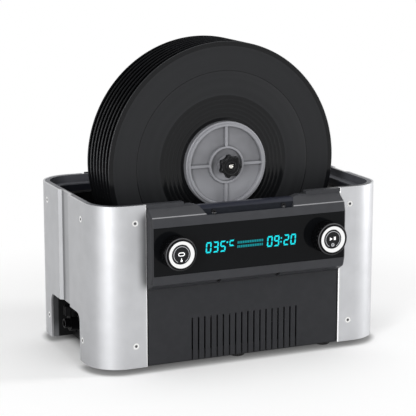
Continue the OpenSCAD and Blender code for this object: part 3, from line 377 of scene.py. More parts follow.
def bead_blasted(name, base, roughness):
    """Anodised aluminium: fine blasted grain, faint upright drawing lines, handling marks.

    Painted shade darkens the side walls and the floor of the side channels, a painted shadow
    lies beside the control housing, and the edges and hems get a painted highlight.
    """
    made = Finish(name)
    grain = made.noise(0.35 * MM, 2.0, 0.6)
    lines = made.noise(0.9 * MM, 3.0, 0.55, (1.0, 1.0, 0.012))
    cloud = made.noise(38 * MM, 3.0, 0.6)
    edge = made.edges(0.5 * MM)
    x, y, z = made.axes()
    across = abs(x)
    hem = (across < HEM_X) * (abs(y) > HEM_Y)
    # Painted shade: the side walls are darker than the front.
    wall = across.between(BODY_HALF.x - 12 * MM, BODY_HALF.x - 5 * MM)
    floor = (across < BODY_HALF.x - 3.5 * MM) * (across > BODY_HALF.x - 6 * MM)
    # Painted shade on the floor of the side channel.
    channel_shade = floor * (abs(y) < CHANNEL_HALF)
    channel_shade = channel_shade * (y.between(-8 * MM, -4 * MM) * 0.18 + y.between(5 * MM, 12 * MM) * 0.32)
    # Painted shadow on the shell beside the control housing.
    beside = (x < 0.0) * (y < -100 * MM) * (1.0 - across.between(130 * MM, 142 * MM))
    level = z.between(96 * MM, 112 * MM) * (1.0 - z.between(184 * MM, 196 * MM))
    tint = made.layers(
        made.tinted(base, 0.03, 22 * MM),
        (wall, made.tinted(scaled(base, 0.87), 0.03, 22 * MM)),
        (channel_shade, scaled(base, 0.05)), (beside * level * 0.49, scaled(base, 0.05)),
        # Painted highlight on the edges and on the turned-in hems.
        (edge * 0.55, (0.88, 0.885, 0.89)), (hem, (0.97, 0.97, 0.97)),
    )
    rough = roughness + hem * 0.15 + (cloud - 0.5) * 0.10 + (grain - 0.5) * 0.10 - edge * 0.08
    return made.shade(
        base_color=tint, metallic=1.0, roughness=rough,
        normal=made.bump(grain * 0.7 + lines * 0.5, 0.012 * MM),
    )


def moulded(name, base, roughness, grain_size=0.55 * MM, depth=0.03 * MM, wear_and_highlight=0.5, level=0.5):
    """Spark-eroded satin plastic: pebbled grain, polished edges with wear and painted highlight,
    slightly cloudy.
    """
    made = Finish(name)
    pebble = made.pits(grain_size)
    fine = made.noise(grain_size * 0.4)
    cloud = made.noise(30 * MM)
    edge = made.edges(0.6 * MM)
    # Paler edges: wear and a painted highlight.
    tint = made.mix(edge * wear_and_highlight, made.tinted(base, 0.06, 14 * MM), scaled(base, 1.55, 0.01))
    rough = roughness + (cloud - 0.5) * 0.12 + (fine - 0.5) * 0.08 - edge * 0.10
    return made.shade(
        base_color=tint, roughness=rough, specular_ior_level=level,
        normal=made.bump(pebble * 0.6 + fine * 0.4, depth),
    )


def moulded_housing(name, base):
    """Housing plastic: satin, with a polished scoop in the notch and a painted highlight on the
    upper ridge.

    Its scoop has a painted dark blue reflection. Painted shade lies on the foot of the scoop,
    the housing's left flank and the room under the drip ledge, and painted light makes the rim
    above the ledge paler.
    """
    made = Finish(name)
    pebble = made.pits(0.55 * MM)
    cloud = made.noise(30 * MM)
    edge = made.edges(0.6 * MM)
    x, y, z = made.axes()
    across = abs(x)
    end = NOTCH_HALF + (z - NOTCH_FOOT) * NOTCH_SLOPE
    scoop = (across < end) * (z > NOTCH_FOOT - 0.1 * MM) * (z < NOTCH_TOP) * (y < NOTCH_BACK)
    foot = 1.0 - z.between(NOTCH_FOOT + 5.3 * MM, NOTCH_FOOT + 6.7 * MM)
    ridge = (abs(z - RIDGE_Z) < 0.55 * MM) * (y < RIDGE_BACK) * (across > NOTCH_HALF + 0.7 * MM)
    flank = (x < GLASS.x - 0.3 * MM) * (y < FLANK_BACK)
    # Painted shade under the drip ledge, and painted light on the rim above it.
    rim = made.mix(z.between(LEDGE_Z - 0.4 * MM, LEDGE_Z + 0.4 * MM), (0.010, 0.011, 0.016),
                   made.tinted(scaled(base, 2.7), 0.05, 14 * MM))
    tint = made.layers(
        made.tinted(base, 0.05, 14 * MM),
        # Edges paler from wear and a painted highlight.
        (edge * 0.4, scaled(base, 1.5, 0.008)),
        # Painted dark blue reflection in the polished scoop.
        (scoop, (0.017, 0.019, 0.030)),
        # Painted highlight along the upper ridge.
        (ridge, (0.27, 0.27, 0.28)),
        (y > RIM_FRONT, rim),
        # Painted shade on the housing's left flank.
        (flank, made.tinted(scaled(base, 0.66), 0.05, 14 * MM)),
    )
    rough = 0.42 + (cloud - 0.5) * 0.12 - edge * 0.08 - scoop * 0.12
    grain = made.bump(pebble * (1.0 - scoop), 0.03 * MM)
    satin = made.principled(
        base_color=tint, roughness=rough, specular_ior_level=0.25, normal=grain,
    )
    # Painted shade on the foot of the scoop.
    shaded = made.principled(
        base_color=made.tinted((0.0125, 0.0140, 0.0180), 0.1, 6 * MM), roughness=rough,
        specular_ior_level=0.05, normal=grain,
    )
    return made.surface(made.mix_shaders(scoop * foot, satin, shaded))


def textured_paint(name, base):
    """Powder coat on sheet metal: orange-peel skin over a fine sand texture."""
    made = Finish(name)
    peel = made.noise(1.1 * MM)
    sand = made.noise(0.28 * MM, 2.0, 0.6)
    cloud = made.noise(45 * MM)
    edge = made.edges(0.5 * MM)
    # Paler edges: wear and a painted highlight.
    tint = made.mix(edge * 0.6, made.tinted(base, 0.07, 9 * MM), scaled(base, 1.7, 0.008))
    return made.shade(
        base_color=tint, specular_ior_level=0.22,
        roughness=0.46 + (cloud - 0.5) * 0.1 + (sand - 0.5) * 0.14,
        normal=made.bump(peel * 0.45 + sand * 0.55, 0.035 * MM),
    )


def tunnel_plastic(name, base):
    """Tunnel behind a side opening: painted shade inside, a paler mouth, palest low down from
    painted light.
    """
    made = Finish(name)
    x, _, z = made.axes()
    # Painted shade deep in the tunnel.
    deep = 1.0 - abs(x).between(TUNNEL_MOUTH - 1.8 * MM, TUNNEL_MOUTH)
    # Painted light low down.
    low = 1.0 - z.between(8 * MM, 32 * MM)
    tint = made.layers(
        made.tinted(base, 0.08, 12 * MM), (low, scaled(base, 3.0)), (deep, scaled(base, 0.12)),
    )
    return made.shade(
        base_color=tint, specular_ior_level=0.12,
        **made.grain(0.6 * MM, 0.03 * MM, 0.5, 0.14),
    )


def printed_glass(name, base):
    """Black glass printed from behind: very smooth, with faint finger haze."""
    made = Finish(name)
    haze = made.noise(24 * MM, 4.0, 0.6).between(0.45, 0.8)
    dust = made.noise(0.8 * MM, 1.0).between(0.72, 0.80)
    return made.shade(
        base_color=made.mix(dust * 0.08, base, (0.12, 0.12, 0.12)),
        roughness=0.035 + haze * 0.06 + dust * 0.1,
        specular_ior_level=0.09,
    )


def pressed_vinyl(name, settings):
    """Record: micro-grooved bands, glossy run-out with its rings, and a smooth outer bead.

    The rims get a painted highlight up high; the rims of the records behind the front one, and
    the gaps between them, get a matt painted shade that is darker towards the top.
    """
    made = Finish(name)
    r = made.radius(SPINDLE)
    _, y, z = made.axes()
    run_out, gap, bead = settings.run_out, settings.track_gap, settings.bead
    smooth_in = 1.0 - r.between(run_out - 0.4 * MM, run_out + 0.4 * MM)
    smooth_out = r.between(bead - 0.4 * MM, bead + 0.4 * MM)
    line = 1.0 - abs(r - gap).between(0.3 * MM, 0.7 * MM)
    smooth = (smooth_in + smooth_out + line).clamped()
    wander, loud = (
        made.node("ShaderNodeTexNoise", {"noise_dimensions": "1D"},
                  {"W": r * per_metre, "Scale": 1.0, "Detail": detail})
        for per_metre, detail in ((900.0, 3.0), (160.0, 2.0))
    )
    rings = r.waves(RING_PITCH).between(0.75, 1.0) * smooth_in
    # Painted highlight on the record rims, only up high.
    rim = (r > RECORD_EDGE - 0.65 * MM) * z.between(208 * MM, 234 * MM)
    tone = made.layers(
        settings.vinyl,
        (loud.between(0.3, 0.7), scaled(settings.vinyl, 1.12)),
        (smooth, settings.gloss), (rings * 0.5, scaled(settings.gloss, 2.2)),
        (rim, (0.036, 0.037, 0.040)),
    )
    grooves = r.waves(settings.groove_pitch) * 0.35 + wander * 0.9
    relief = made.bump(grooves * (1.0 - smooth) + rings * 1.6, 0.035 * MM)
    vinyl = made.principled(
        base_color=tone, specular_ior_level=0.2, normal=relief,
        roughness=made.mix_numbers(smooth, 0.42 + (loud - 0.5) * 0.12, 0.13),
    )
    edge = r > RECORD_EDGE - 1.4 * MM
    # Painted shade for the rims and gaps of the records behind the front one.
    gap_shade = made.principled(
        base_color=made.mix(edge, (0.0008, 0.0008, 0.0009), scaled(settings.gloss, 1.4)),
        roughness=0.4, specular_ior_level=0.01, normal=relief,
    )
    fade = made.mix_numbers(
        edge, z.between(225 * MM, 262 * MM), z.between(225 * MM, 345 * MM)
    )
    behind = (r > RECORD_EDGE - 21 * MM) * (y > STACK_Y + 0.4 * MM) * fade
    return made.surface(made.mix_shaders(behind, vinyl, gap_shade))


def cast_clamp(name, base):
    """Satin grey clamp: fine turned rings on a bead-blasted casting.

    Painted light makes its front face paler and its lower half paler still; painted shade
    darkens its inner corners, and its edges get a painted highlight.
    """
    made = Finish(name)
    turned = made.radius(SPINDLE).waves(0.7 * MM)
    grain = made.noise(0.5 * MM, 2.0, 0.6)
    _, y, z = made.axes()
    # Painted light on the front face.
    lit_face = 1.0 - y.between(CLAMP_Y + 2.4 * MM, CLAMP_Y + 3.2 * MM)
    # Painted light on the lower half.
    lower = 1.0 - z.between(200 * MM, 240 * MM)
    # Painted shade in the inner corners.
    corner = made.recess(3.5 * MM, 0.35, 0.80)
    tint = made.layers(
        made.tinted(base, 0.05, 12 * MM), (lit_face, scaled(base, 1.45)),
        (lower * 0.9, scaled(base, 2.05)), (corner * 0.75, scaled(base, 0.25)),
        # Painted highlight on the edges.
        (made.edges(0.45 * MM) * 0.8, scaled(base, 1.9)),
    )
    return made.shade(
        base_color=tint, roughness=0.40 + (grain - 0.5) * 0.12, metallic=0.15,
        normal=made.bump(grain * 0.7 + turned * 0.12, 0.02 * MM),
    )


def star_plastic(name, base):
    """Hard black plastic: a painted highlight on every edge, and painted shade in its hollows."""
    made = Finish(name)
    tint = made.layers(
        # Painted highlight on the edges and painted shade in the hollows.
        made.tinted(base, 0.08, 5 * MM), (made.edges(0.7 * MM), (0.17, 0.172, 0.18)),
        (made.recess(3.0 * MM, 0.30, 0.75), (0.0012, 0.0012, 0.0013)),
    )
    return made.shade(
        base_color=tint, specular_ior_level=0.14,
        **made.grain(0.25 * MM, 0.008 * MM, 0.30, 0.1),
    )


def glossy_dial(name, base, centre):
    """Polished black dial: a thin painted highlight on its front chamfer and on its grip flutes.
    """
    made = Finish(name)
    x, y, z = made.axes()
    r = made.radius(centre)
    chamfer = 1.0 - abs(r - DIAL_R).between(0.25 * MM, 0.85 * MM)
    front = y < centre.y + 4.0 * MM
    # Painted highlight on the chamfer, brightest towards the upper left.
    toward = ((z - centre.z) - (x - centre.x)) / r
    line = chamfer * front * toward.between(-1.3, 1.3, 0.25, 1.0)
    # Painted glint on the edges of the grip flutes.
    flute_glint = made.edges(0.5 * MM) * (r > DIAL_R + 0.1 * MM) * (1.0 - front)
    tint = made.layers(
        made.tinted(base, 0.1, 8 * MM),
        (line, (0.115, 0.115, 0.12)), (flute_glint * 0.8, (0.030, 0.030, 0.032)),
    )
    return made.shade(
        base_color=tint, specular_ior_level=0.10,
        **made.grain(0.4 * MM, 0.003 * MM, 0.18, 0.06),
    )


def ground_steel(name, base, stretch=(1.0, 1.0, 1.0), roughness=0.28):
    """Ground or drawn steel: fine lines along the stretched axis, light scratches."""
    made = Finish(name)
    lines = made.noise(0.5 * MM, 3.0, 0.6, stretch)
    scratch = made.noise(2.2 * MM, 5.0, 0.7, stretch).between(0.62, 0.70)
    cloud = made.noise(25 * MM, 3.0)
    return made.shade(
        base_color=made.tinted(base, 0.05, 18 * MM), metallic=1.0,
        roughness=roughness + (cloud - 0.5) * 0.14 + scratch * 0.08,
        normal=made.bump(lines * 0.8 + scratch * 0.4, 0.008 * MM),
    )


def screw_grain(made, roughness):
    """Fine grain of a screw's plating."""
    return made.grain(0.4 * MM, 0.008 * MM, roughness, 0.12)


def plated(name, base):
    """Satin plated screw: pale rim, with painted shade inside its socket."""
    made = Finish(name)
    # Painted shade in the socket.
    socket_shade = made.recess(2.6 * MM, 0.45, 0.97)
    return made.shade(
        base_color=made.mix(socket_shade, base, scaled(base, 0.12)), metallic=0.35,
        **screw_grain(made, 0.34),
    )


def shell_screw(name, base):
    """Plated shell screw: bright turned rim between painted shade in its socket and at its edge.
    """
    made = Finish(name)
    x, y, z = made.axes()
    beside = abs(abs(x) - SCREW_X).at_most(abs(abs(y) - SCREW_Y))
    above = abs(abs(z - SCREW_MID_Z) - SCREW_HALF_Z)
    r = (beside * beside + above * above).root()
    # Painted shade in the socket, lighter on the front screws than on the side ones.
    socket = 1.0 - r.between(1.5 * MM, 2.1 * MM)
    # Painted shade round the outer edge of the head.
    border = r.between(3.4 * MM, 3.9 * MM)
    on_side = abs(x) > 170 * MM
    inside = made.mix(on_side, (0.130, 0.130, 0.134), (0.020, 0.020, 0.021))
    return made.shade(
        base_color=made.layers(base, (border * 0.6, scaled(base, 0.35)), (socket, inside)),
        metallic=0.35, **screw_grain(made, 0.34),
    )


def black_screw(name, base):
    """Blackened cap screw: painted shade in its socket, a painted highlight on its lower edge."""
    made = Finish(name)
    z = made.axes()[2]
    # Painted highlight on the lower edge of the head.
    lit_edge = made.edges(0.6 * MM) * (z > 180 * MM) * (z < RIDGE_Z + 0.3 * MM)
    tint = made.layers(
        # Painted shade in the socket.
        base, (made.recess(2.6 * MM, 0.45, 0.97), (0.002, 0.002, 0.002)),
        (lit_edge, (0.75, 0.75, 0.77)),
    )
    return made.shade(
        base_color=tint, metallic=0.2, specular_ior_level=0.15, **screw_grain(made, 0.38),
    )


def rubber(name, base):
    """Moulded rubber: dull, faintly dusty, with a fine matt skin."""
    made = Finish(name)
    skin = made.noise(0.4 * MM, 2.0, 0.6)
    dust = made.noise(6 * MM, 4.0, 0.6).between(0.5, 0.8)
    return made.shade(
        base_color=made.mix(dust * 0.3, base, (0.10, 0.10, 0.10)),
        roughness=0.72 + dust * 0.12, normal=made.bump(skin, 0.03 * MM),
    )


def machined(name, base, centre, axis):
    """Turned metal: tool rings round an axis."""
    made = Finish(name)
    tarnish = made.noise(8 * MM, 4.0, 0.6).between(0.5, 0.8)
    return made.shade(
        base_color=made.mix(tarnish * 0.5, base, scaled(base, 0.55)),
        metallic=1.0, roughness=0.26 + tarnish * 0.22,
        normal=made.bump(made.radius(centre, axis).waves(0.45 * MM), 0.006 * MM),
    )


def circuit(name, board, front):
    """Board with solder mask, tracks and pads; what stands on it is dark or bright."""
    made = Finish(name)
    y = made.axes()[1]
    on_board = (y > front) * (y < front + 1.8 * MM)
    tracks = made.node(
        "ShaderNodeTexBrick", {"offset": 0.5},
        {"Vector": made.place(), "Scale": 220.0, "Mortar Size": 0.03,
         "Color1": BLACK, "Color2": BLACK, "Mortar": WHITE},
    )
    face = made.layers(
        made.tinted(board, 0.12, 5 * MM),
        (tracks, scaled(board, 1.8)), (made.pits(2.6 * MM) < 0.16, (0.55, 0.53, 0.48)),
    )
    bright = made.noise(9 * MM, 0.0).between(0.52, 0.56)
    parts = made.mix(bright, (0.02, 0.02, 0.022), (0.35, 0.35, 0.36))
    return made.shade(
        base_color=made.mix(on_board, parts, face), roughness=0.4 - on_board * 0.12,
        normal=made.bump(tracks + made.noise(0.7 * MM) * 0.3, 0.02 * MM),
    )


def lit_ring(name, strength, centre, edge):
    """Opal ring of a dial: evenly lit, with a narrow black border outside."""
    made = Finish(name)
    r = made.radius(centre)
    inside = 1.0 - r.between(edge, edge + 0.25 * MM)
    even = made.noise(3.0 * MM, 1.0).between(0.2, 0.8, 0.97, 1.0)
    return made.shade(
        base_color=made.mix(inside, (0.006, 0.006, 0.007), (0.06, 0.06, 0.06)), roughness=0.35,
        specular_ior_level=0.06,
        emission_color=made.mix(inside * even, BLACK, WHITE), emission_strength=strength,
    )


def lit(name, tint):
    """Light guide: glows from inside, a little unevenly."""
    made = Finish(name)
    even = made.noise(2.5 * MM, 1.0).between(0.2, 0.8, 0.96, 1.0)
    return made.shade(
        base_color=scaled(tint, 0.06), roughness=0.35, specular_ior_level=0.1,
        emission_color=made.mix(even, scaled(tint, 0.94), tint), emission_strength=1.0,
    )


def printed(name, tint):
    """Ink printed on a button: matt, a little uneven, with a painted glow."""
    made = Finish(name)
    return made.shade(
        base_color=made.tinted(tint, 0.08, 1.5 * MM), roughness=0.6,
        # Painted glow of the ink.
        emission_color=tint, emission_strength=0.45,
        normal=made.bump(made.noise(0.3 * MM), 0.01 * MM),
    )


def fired(name, base):
    """Ceramic or silicone: fine even grain with a few darker specks."""
    made = Finish(name)
    speck = made.pits(2.5 * MM) < 0.12
    return made.shade(
        base_color=made.mix(speck * 0.4, made.tinted(base, 0.06, 6 * MM), scaled(base, 0.5)),
        **made.grain(0.5 * MM, 0.02 * MM, 0.55, 0.15),
    )


# Making pieces


def dress(material, *names, rounding=None):
    """Gives CAD nodes a material in all their slots.

    A rounding softens their sharp edges with modifiers; the solids stay as they are.
    """
    for name in names:
        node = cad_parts[name]
        node.data.materials.clear()
        node.data.materials.append(material)
        if rounding is None:
            continue
        weld = node.modifiers.new("join", "WELD")
        weld.merge_threshold = 0.002 * MM
        bevel = node.modifiers.new("round", "BEVEL")
        bevel.width = rounding
        bevel.segments = 2
        bevel.limit_method = "ANGLE"
        bevel.angle_limit = math.radians(28.0)
        bevel.use_clamp_overlap = True
        normals = node.modifiers.new("shading", "WEIGHTED_NORMAL")
        normals.mode = "FACE_AREA"
        normals.weight = 60


def add_piece(name, mesh, material, body, smooth=30.0):
    """Closes a bmesh into a piece that rides on a body."""
    bmesh.ops.recalc_face_normals(mesh, faces=mesh.faces)
    limit = math.radians(smooth)
    for face in mesh.faces:
        face.smooth = True
    for edge in mesh.edges:
        if len(edge.link_faces) == 2 and edge.calc_face_angle() > limit:
            edge.smooth = False
    data = bpy.data.meshes.new(name)
    mesh.to_mesh(data)
    mesh.free()
    data.materials.append(material)
    piece = bpy.data.objects.new(name, data)
    bpy.context.scene.collection.objects.link(piece)
    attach(piece, body)
    return piece


def lathe(profile, centre, facets):
    """Turns a closed outline of (radius, depth) about the Y axis through centre."""
    mesh = bmesh.new()
    rings = []
    for step in range(facets):
        a = 2 * math.pi * step / facets
        rings.append([
            mesh.verts.new((centre.x + r * math.cos(a), centre.y + y, centre.z + r * math.sin(a)))
            for r, y in profile
        ])
    count = len(profile)
    for step in range(facets):
        here, there = rings[step], rings[(step + 1) % facets]
        for i in range(count):
            j = (i + 1) % count
            mesh.faces.new((here[i], here[j], there[j], there[i]))
    return mesh


def plate(mesh, outline, front, back):
    """Adds a flat plate with an outline in X and Z between two depths."""
    near = [mesh.verts.new((x, front, z)) for x, z in outline]
    far = [mesh.verts.new((x, back, z)) for x, z in outline]
    mesh.faces.new(near)
    mesh.faces.new(far[::-1])
    for i in range(len(outline)):
        j = (i + 1) % len(outline)
        mesh.faces.new((near[i], far[i], far[j], near[j]))


def rectangle(x, z, width, height):
    """Corners of a rectangle from its lower left corner."""
    return [(x, z), (x + width, z), (x + width, z + height), (x, z + height)]


# Pieces


class CLEANER_OT_shells(bpy.types.Operator):
    """Side shells in blasted, anodised aluminium, and their bright screws"""

    bl_idname = "cleaner.shells"
    bl_label = "Side shells"

    def execute(self, context):
        look = context.scene.cleaner_body
        shell = bead_blasted("anodised_aluminium", look.aluminium, look.shell_roughness)
        dress(shell, "left_shell", "right_shell")
        dress(shell_screw("bright_zinc", (0.84, 0.84, 0.83)), "shell_screws")
        dress(plated("zinc", (0.80, 0.80, 0.79)), "tank_screws")
        dress(black_screw("black_oxide", (0.014, 0.014, 0.016)), "housing_screws")
        return {"FINISHED"}


class CLEANER_OT_panels(bpy.types.Operator):
    """Slotted front panel, rear panel, side tunnels, tray and feet"""

    bl_idname = "cleaner.panels"
    bl_label = "Panels and tunnels"

    def execute(self, context):
        look = context.scene.cleaner_body
        paint = textured_paint("panel_paint", look.panel)
        dress(paint, "front_panel", "rear_panel", "drive_dock", rounding=0.25 * MM)
        tunnel = tunnel_plastic("tunnel_plastic", look.liner)
        dress(tunnel, "left_liner", "right_liner", rounding=look.edge_round)
        dress(textured_paint("sheet_paint", (0.008, 0.008, 0.009)), "base_tray", "front_plate")
        feet = rubber("foot_rubber", (0.012, 0.012, 0.012))
        dress(feet, "feet", rounding=look.edge_round)
        return {"FINISHED"}


class CLEANER_OT_housing(bpy.types.Operator):
    """Control housing and the rim moulding round the tank"""

    bl_idname = "cleaner.housing"
    bl_label = "Housing and rim"

    def execute(self, context):
        look = context.scene.cleaner_body
        plastic = moulded_housing("housing_plastic", look.housing)
        dress(plastic, "control_housing", "tank_bezel", rounding=look.edge_round)
        return {"FINISHED"}


SEGMENTS = {
    "0": "abcdef", "2": "abged", "3": "abgcd", "5": "afgcd", "9": "abcdfg", "C": "afed",
}


def segment_bars(width, height, stroke):
    """The seven bars of a digit as outlines with pointed ends, from its lower left corner."""
    gap = stroke * 0.10
    half = stroke / 2
    left, right = half, width - half
    low, mid, high = half, height / 2, height - half

    def flat(z, inner):
        a, b = left + gap, right - gap
        if inner:
            return [(a, z), (a + half, z + half), (b - half, z + half), (b, z),
                    (b - half, z - half), (a + half, z - half)]
        side = half if z > mid else -half
        return [(a - half * 0.6, z + side), (b + half * 0.6, z + side),
                (b + half * 0.2, z + side * 0.4), (b - half, z - side),
                (a + half, z - side), (a - half * 0.2, z + side * 0.4)]

    def upright(x, z0, z1):
        a, b = z0 + gap, z1 - gap
        side = half if x > width / 2 else -half
        return [(x, a), (x + side, a + half * 0.6), (x + side, b - half * 0.6), (x, b),
                (x - side, b - half), (x - side, a + half)]

    return {
        "a": flat(high, False), "g": flat(mid, True), "d": flat(low, False),
        "f": upright(left, mid, high), "b": upright(right, mid, high),
        "e": upright(left, low, mid), "c": upright(right, low, mid),
    }


class CLEANER_OT_display(bpy.types.Operator):
    """Black glass with the lit temperature, time and level bars"""

    bl_idname = "cleaner.display"
    bl_label = "Display"

    low_z = 142.95 * MM  # foot of the large digits
    front = GLASS.y - 0.06 * MM
    back = GLASS.y - 0.02 * MM

    def bar(self, mesh, outline, x, z):
        """Adds a lit plate whose outline leans with the digits, with its corner at x and z."""
        slope = math.tan(self.look.slant)
        leaning = [(x + u + (v + z - self.low_z) * slope, z + v) for u, v in outline]
        plate(mesh, leaning, self.front, self.back)

    def digit(self, mesh, glyph, x, size=None, z=None):
        width, height = size or (self.look.digit_width, self.look.digit_height)
        bars = segment_bars(width, height, self.look.stroke)
        for bar in SEGMENTS[glyph]:
            self.bar(mesh, bars[bar], x, z or self.low_z)

    def square(self, mesh, x, z, size):
        self.bar(mesh, rectangle(0, 0, size, size), x, z)

    def execute(self, context):
        self.look = look = context.scene.cleaner_display
        glass = printed_glass("printed_glass", look.glass)
        dress(glass, "display_glass", rounding=0.3 * MM)
        glow = lit("lit_segments", look.lit)
        warm = bmesh.new()
        for x, glyph in zip((-60.2, -50.95, -41.7), "035"):
            self.digit(warm, glyph, x * MM)
        self.square(warm, -33.6 * MM, 153.0 * MM, 2.0 * MM)
        self.digit(warm, "C", -29.9 * MM, (6.9 * MM, 7.6 * MM), 148.7 * MM)
        add_piece("temperature_digits", warm, glow, "chassis")
        clock = bmesh.new()
        for x, glyph in zip((20.2, 29.4, 42.4, 51.6), "0920"):
            self.digit(clock, glyph, x * MM)
        for z in (147.0, 151.7):
            self.square(clock, 38.2 * MM, z * MM, 1.7 * MM)
        add_piece("time_digits", clock, glow, "chassis")
        bars = bmesh.new()
        for row in (150.9, 145.9):
            for i in range(15):
                self.bar(bars, rectangle(0, 0, 1.5 * MM, 2.9 * MM),
                         (-19.0 + 2.3 * i) * MM, row * MM)
        dim = lit("dim_segments", scaled(look.lit, 0.36))
        add_piece("level_bars", bars, dim, "chassis")
        return {"FINISHED"}


class CLEANER_OT_dials(bpy.types.Operator):
    """Dials with their lit rings, and push buttons with generic icons"""

    bl_idname = "cleaner.dials"
    bl_label = "Dials and buttons"

    front = CAP_Y - 0.05 * MM
    back = CAP_Y + 0.12 * MM

    def shape(self, mesh, outline):
        """Prints an outline in mm, measured from the middle of the button."""
        corners = [(self.button.x + u * MM, self.button.z + v * MM) for u, v in outline]
        plate(mesh, corners, self.front, self.back)

    def band(self, mesh, u, v, inner, outer, start, end, steps):
        """Prints part of a ring in mm, with angles in degrees from +X towards +Z."""
        angles = [math.radians(start + (end - start) * i / steps) for i in range(steps + 1)]
        for a, b in zip(angles, angles[1:]):
            self.shape(mesh, [
                (u + r * math.cos(t), v + r * math.sin(t))
                for r, t in ((inner, a), (outer, a), (outer, b), (inner, b))
            ])

    def execute(self, context):
        look = context.scene.cleaner_dials
        for side in ("left", "right"):
            light = middle(side + "_light_ring")
            dial = glossy_dial(side + "_dial_plastic", look.body, light)
            dress(dial, side + "_dial", rounding=0.6 * MM)
            button = middle(side + "_button")
            opal = lit_ring(side + "_opal", look.glow, button, look.ring_edge)
            dress(opal, side + "_light_ring")
        cap = moulded("button_plastic", look.cap, 0.34, 0.35 * MM, 0.012 * MM, level=0.2)
        dress(cap, "left_button", "right_button", rounding=0.25 * MM)
        ink = printed("icon_ink", look.icon)
        grey = printed("scale_ink", look.scale)
        for side in ("left", "right"):
            self.button = middle(side + "_button")
            arc = bmesh.new()
            self.band(arc, 0, 0, 9.35, 9.95, -61, 241, 64)
            add_piece(side + "_scale", arc, grey, side + "_button")
        self.button = middle("left_button")
        mode = bmesh.new()
        for side in (-1, 1):
            self.band(mode, side * 1.9, 0.5, 1.3, 2.3, -90 * side, 180 - 90 * side, 12)
        for low in (-1.8, 1.8):
            self.shape(mode, rectangle(-1.9, low, 3.8, 1.0))
        self.band(mode, 0, -7.3, 0, 1.3, 0, 360, 16)
        self.shape(mode, rectangle(-0.5, -7.3, 1.0, 3.1))
        add_piece("left_icon", mode, ink, "left_button")
        self.button = middle("right_button")
        play = bmesh.new()
        self.shape(play, ((-4.1, -1.4), (-0.5, 0.6), (-4.1, 2.6)))
        for left in (1.3, 2.75):
            self.shape(play, rectangle(left, -1.2, 1.05, 4.2))
        add_piece("right_icon", play, ink, "right_button")
        sun = bmesh.new()
        self.band(sun, 0, -6.9, 0.9, 2.2, 0, 360, 24)
        add_piece("right_symbol", sun, grey, "right_button")
        return {"FINISHED"}


class CLEANER_OT_tank(bpy.types.Operator):
    """Stainless tank with its seal, heater mat and transducers"""

    bl_idname = "cleaner.tank"
    bl_label = "Tank"

    def execute(self, context):
        dress(ground_steel("tank_stainless", (0.10, 0.10, 0.102), (1.0, 1.0, 0.06), 0.3), "tank")
        dress(rubber("seal_rubber", (0.014, 0.014, 0.014)), "tank_gasket")
        dress(fired("heater_silicone", (0.55, 0.10, 0.03)), "heater_pad")
        dress(machined("turned_aluminium", (0.10, 0.10, 0.105), (0.075, 0, 0), "z"), "transducers")
        dress(fired("piezo_ceramic", (0.055, 0.05, 0.04)), "piezo_rings")
        return {"FINISHED"}


class CLEANER_OT_records(bpy.types.Operator):
    """Records with their bead, track gap and run-out rings, and the discs between them"""

    bl_idname = "cleaner.records"
    bl_label = "Records"

    def outline(self, look):
        """Half a record from its hole out and back, as (radius, depth)."""
        smooth, grooved = 0.25, 0.18  # how far these bands lie below the label and the bead
        hole, label, radius = 3.62, 51.0, 57.0
        edge, gap, bead = look.run_out / MM, look.track_gap / MM, look.bead / MM
        rim = RECORD_EDGE / MM
        face = [(hole, 0), (label, 0), (label + 1.2, 0.12), (label + 3, smooth)]
        while radius < edge - 3:
            face += [(radius, smooth), (radius + 0.35, 0.11), (radius + 0.7, smooth)]
            radius += RING_PITCH / MM
        face += [(edge - 0.3, smooth), (edge + 0.3, grooved), (gap - 0.9, grooved),
                 (gap - 0.5, smooth), (gap + 0.5, smooth), (gap + 0.9, grooved),
                 (bead - 0.6, grooved), (bead + 0.3, 0.06), (bead + 1.6, 0.0),
                 (rim - 1.1, 0.0), (rim - 0.45, 0.12), (rim - 0.1, 0.45), (RECORD_R / MM, 0.8)]
        back = [(r, RECORD_T / MM - y) for r, y in reversed(face)]
        return [(r * MM, y * MM) for r, y in face + back]

    def execute(self, context):
        look = context.scene.cleaner_records
        vinyl = pressed_vinyl("pressed_vinyl", look)
        outline = self.outline(look)
        for number in range(1, 9):
            name = f"record_{number}"
            centre = Vector((SPINDLE.x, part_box(name)[0].y, SPINDLE.z))
            piece = add_piece(f"vinyl_{number}", lathe(outline, centre, look.facets),
                              vinyl, "stack", 40.0)
            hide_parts(name)
        dress(moulded("disc_plastic", (0.014, 0.014, 0.015), 0.45), "label_discs")
        return {"FINISHED"}


class CLEANER_OT_clamps(bpy.types.Operator):
    """End clamps, star nut, washer and spindle"""

    bl_idname = "cleaner.clamps"
    bl_label = "Clamps and star nut"

    def execute(self, context):
        look = context.scene.cleaner_clamps
        clamp = cast_clamp("clamp_grey", look.grey)
        dress(clamp, "front_clamp", "rear_clamp", rounding=0.3 * MM)
        dress(cast_clamp("washer_grey", look.grey), "clamp_washer")
        dress(star_plastic("star_plastic", look.knob), "star_knob", rounding=0.5 * MM)
        dress(ground_steel("ground_steel", look.steel, (1.0, 0.05, 1.0), 0.2), "spindle")
        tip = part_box("spindle")[0].y
        hub, radius, rise = 0.02, 2.45, 0.35
        crown = [
            (radius * math.sin(math.radians(a)), -rise * math.cos(math.radians(a)))
            for a in range(15, 91, 15)
        ]
        outline = [(r * MM, y * MM) for r, y in ((hub, -rise), *crown, (2.3, 0.4), (hub, 0.4))]
        bright = ground_steel("polished_tip", (0.70, 0.69, 0.64), roughness=0.18)
        add_piece("spindle_tip", lathe(outline, Vector((SPINDLE.x, tip, SPINDLE.z)), 32),
                  bright, "stack")
        return {"FINISHED"}


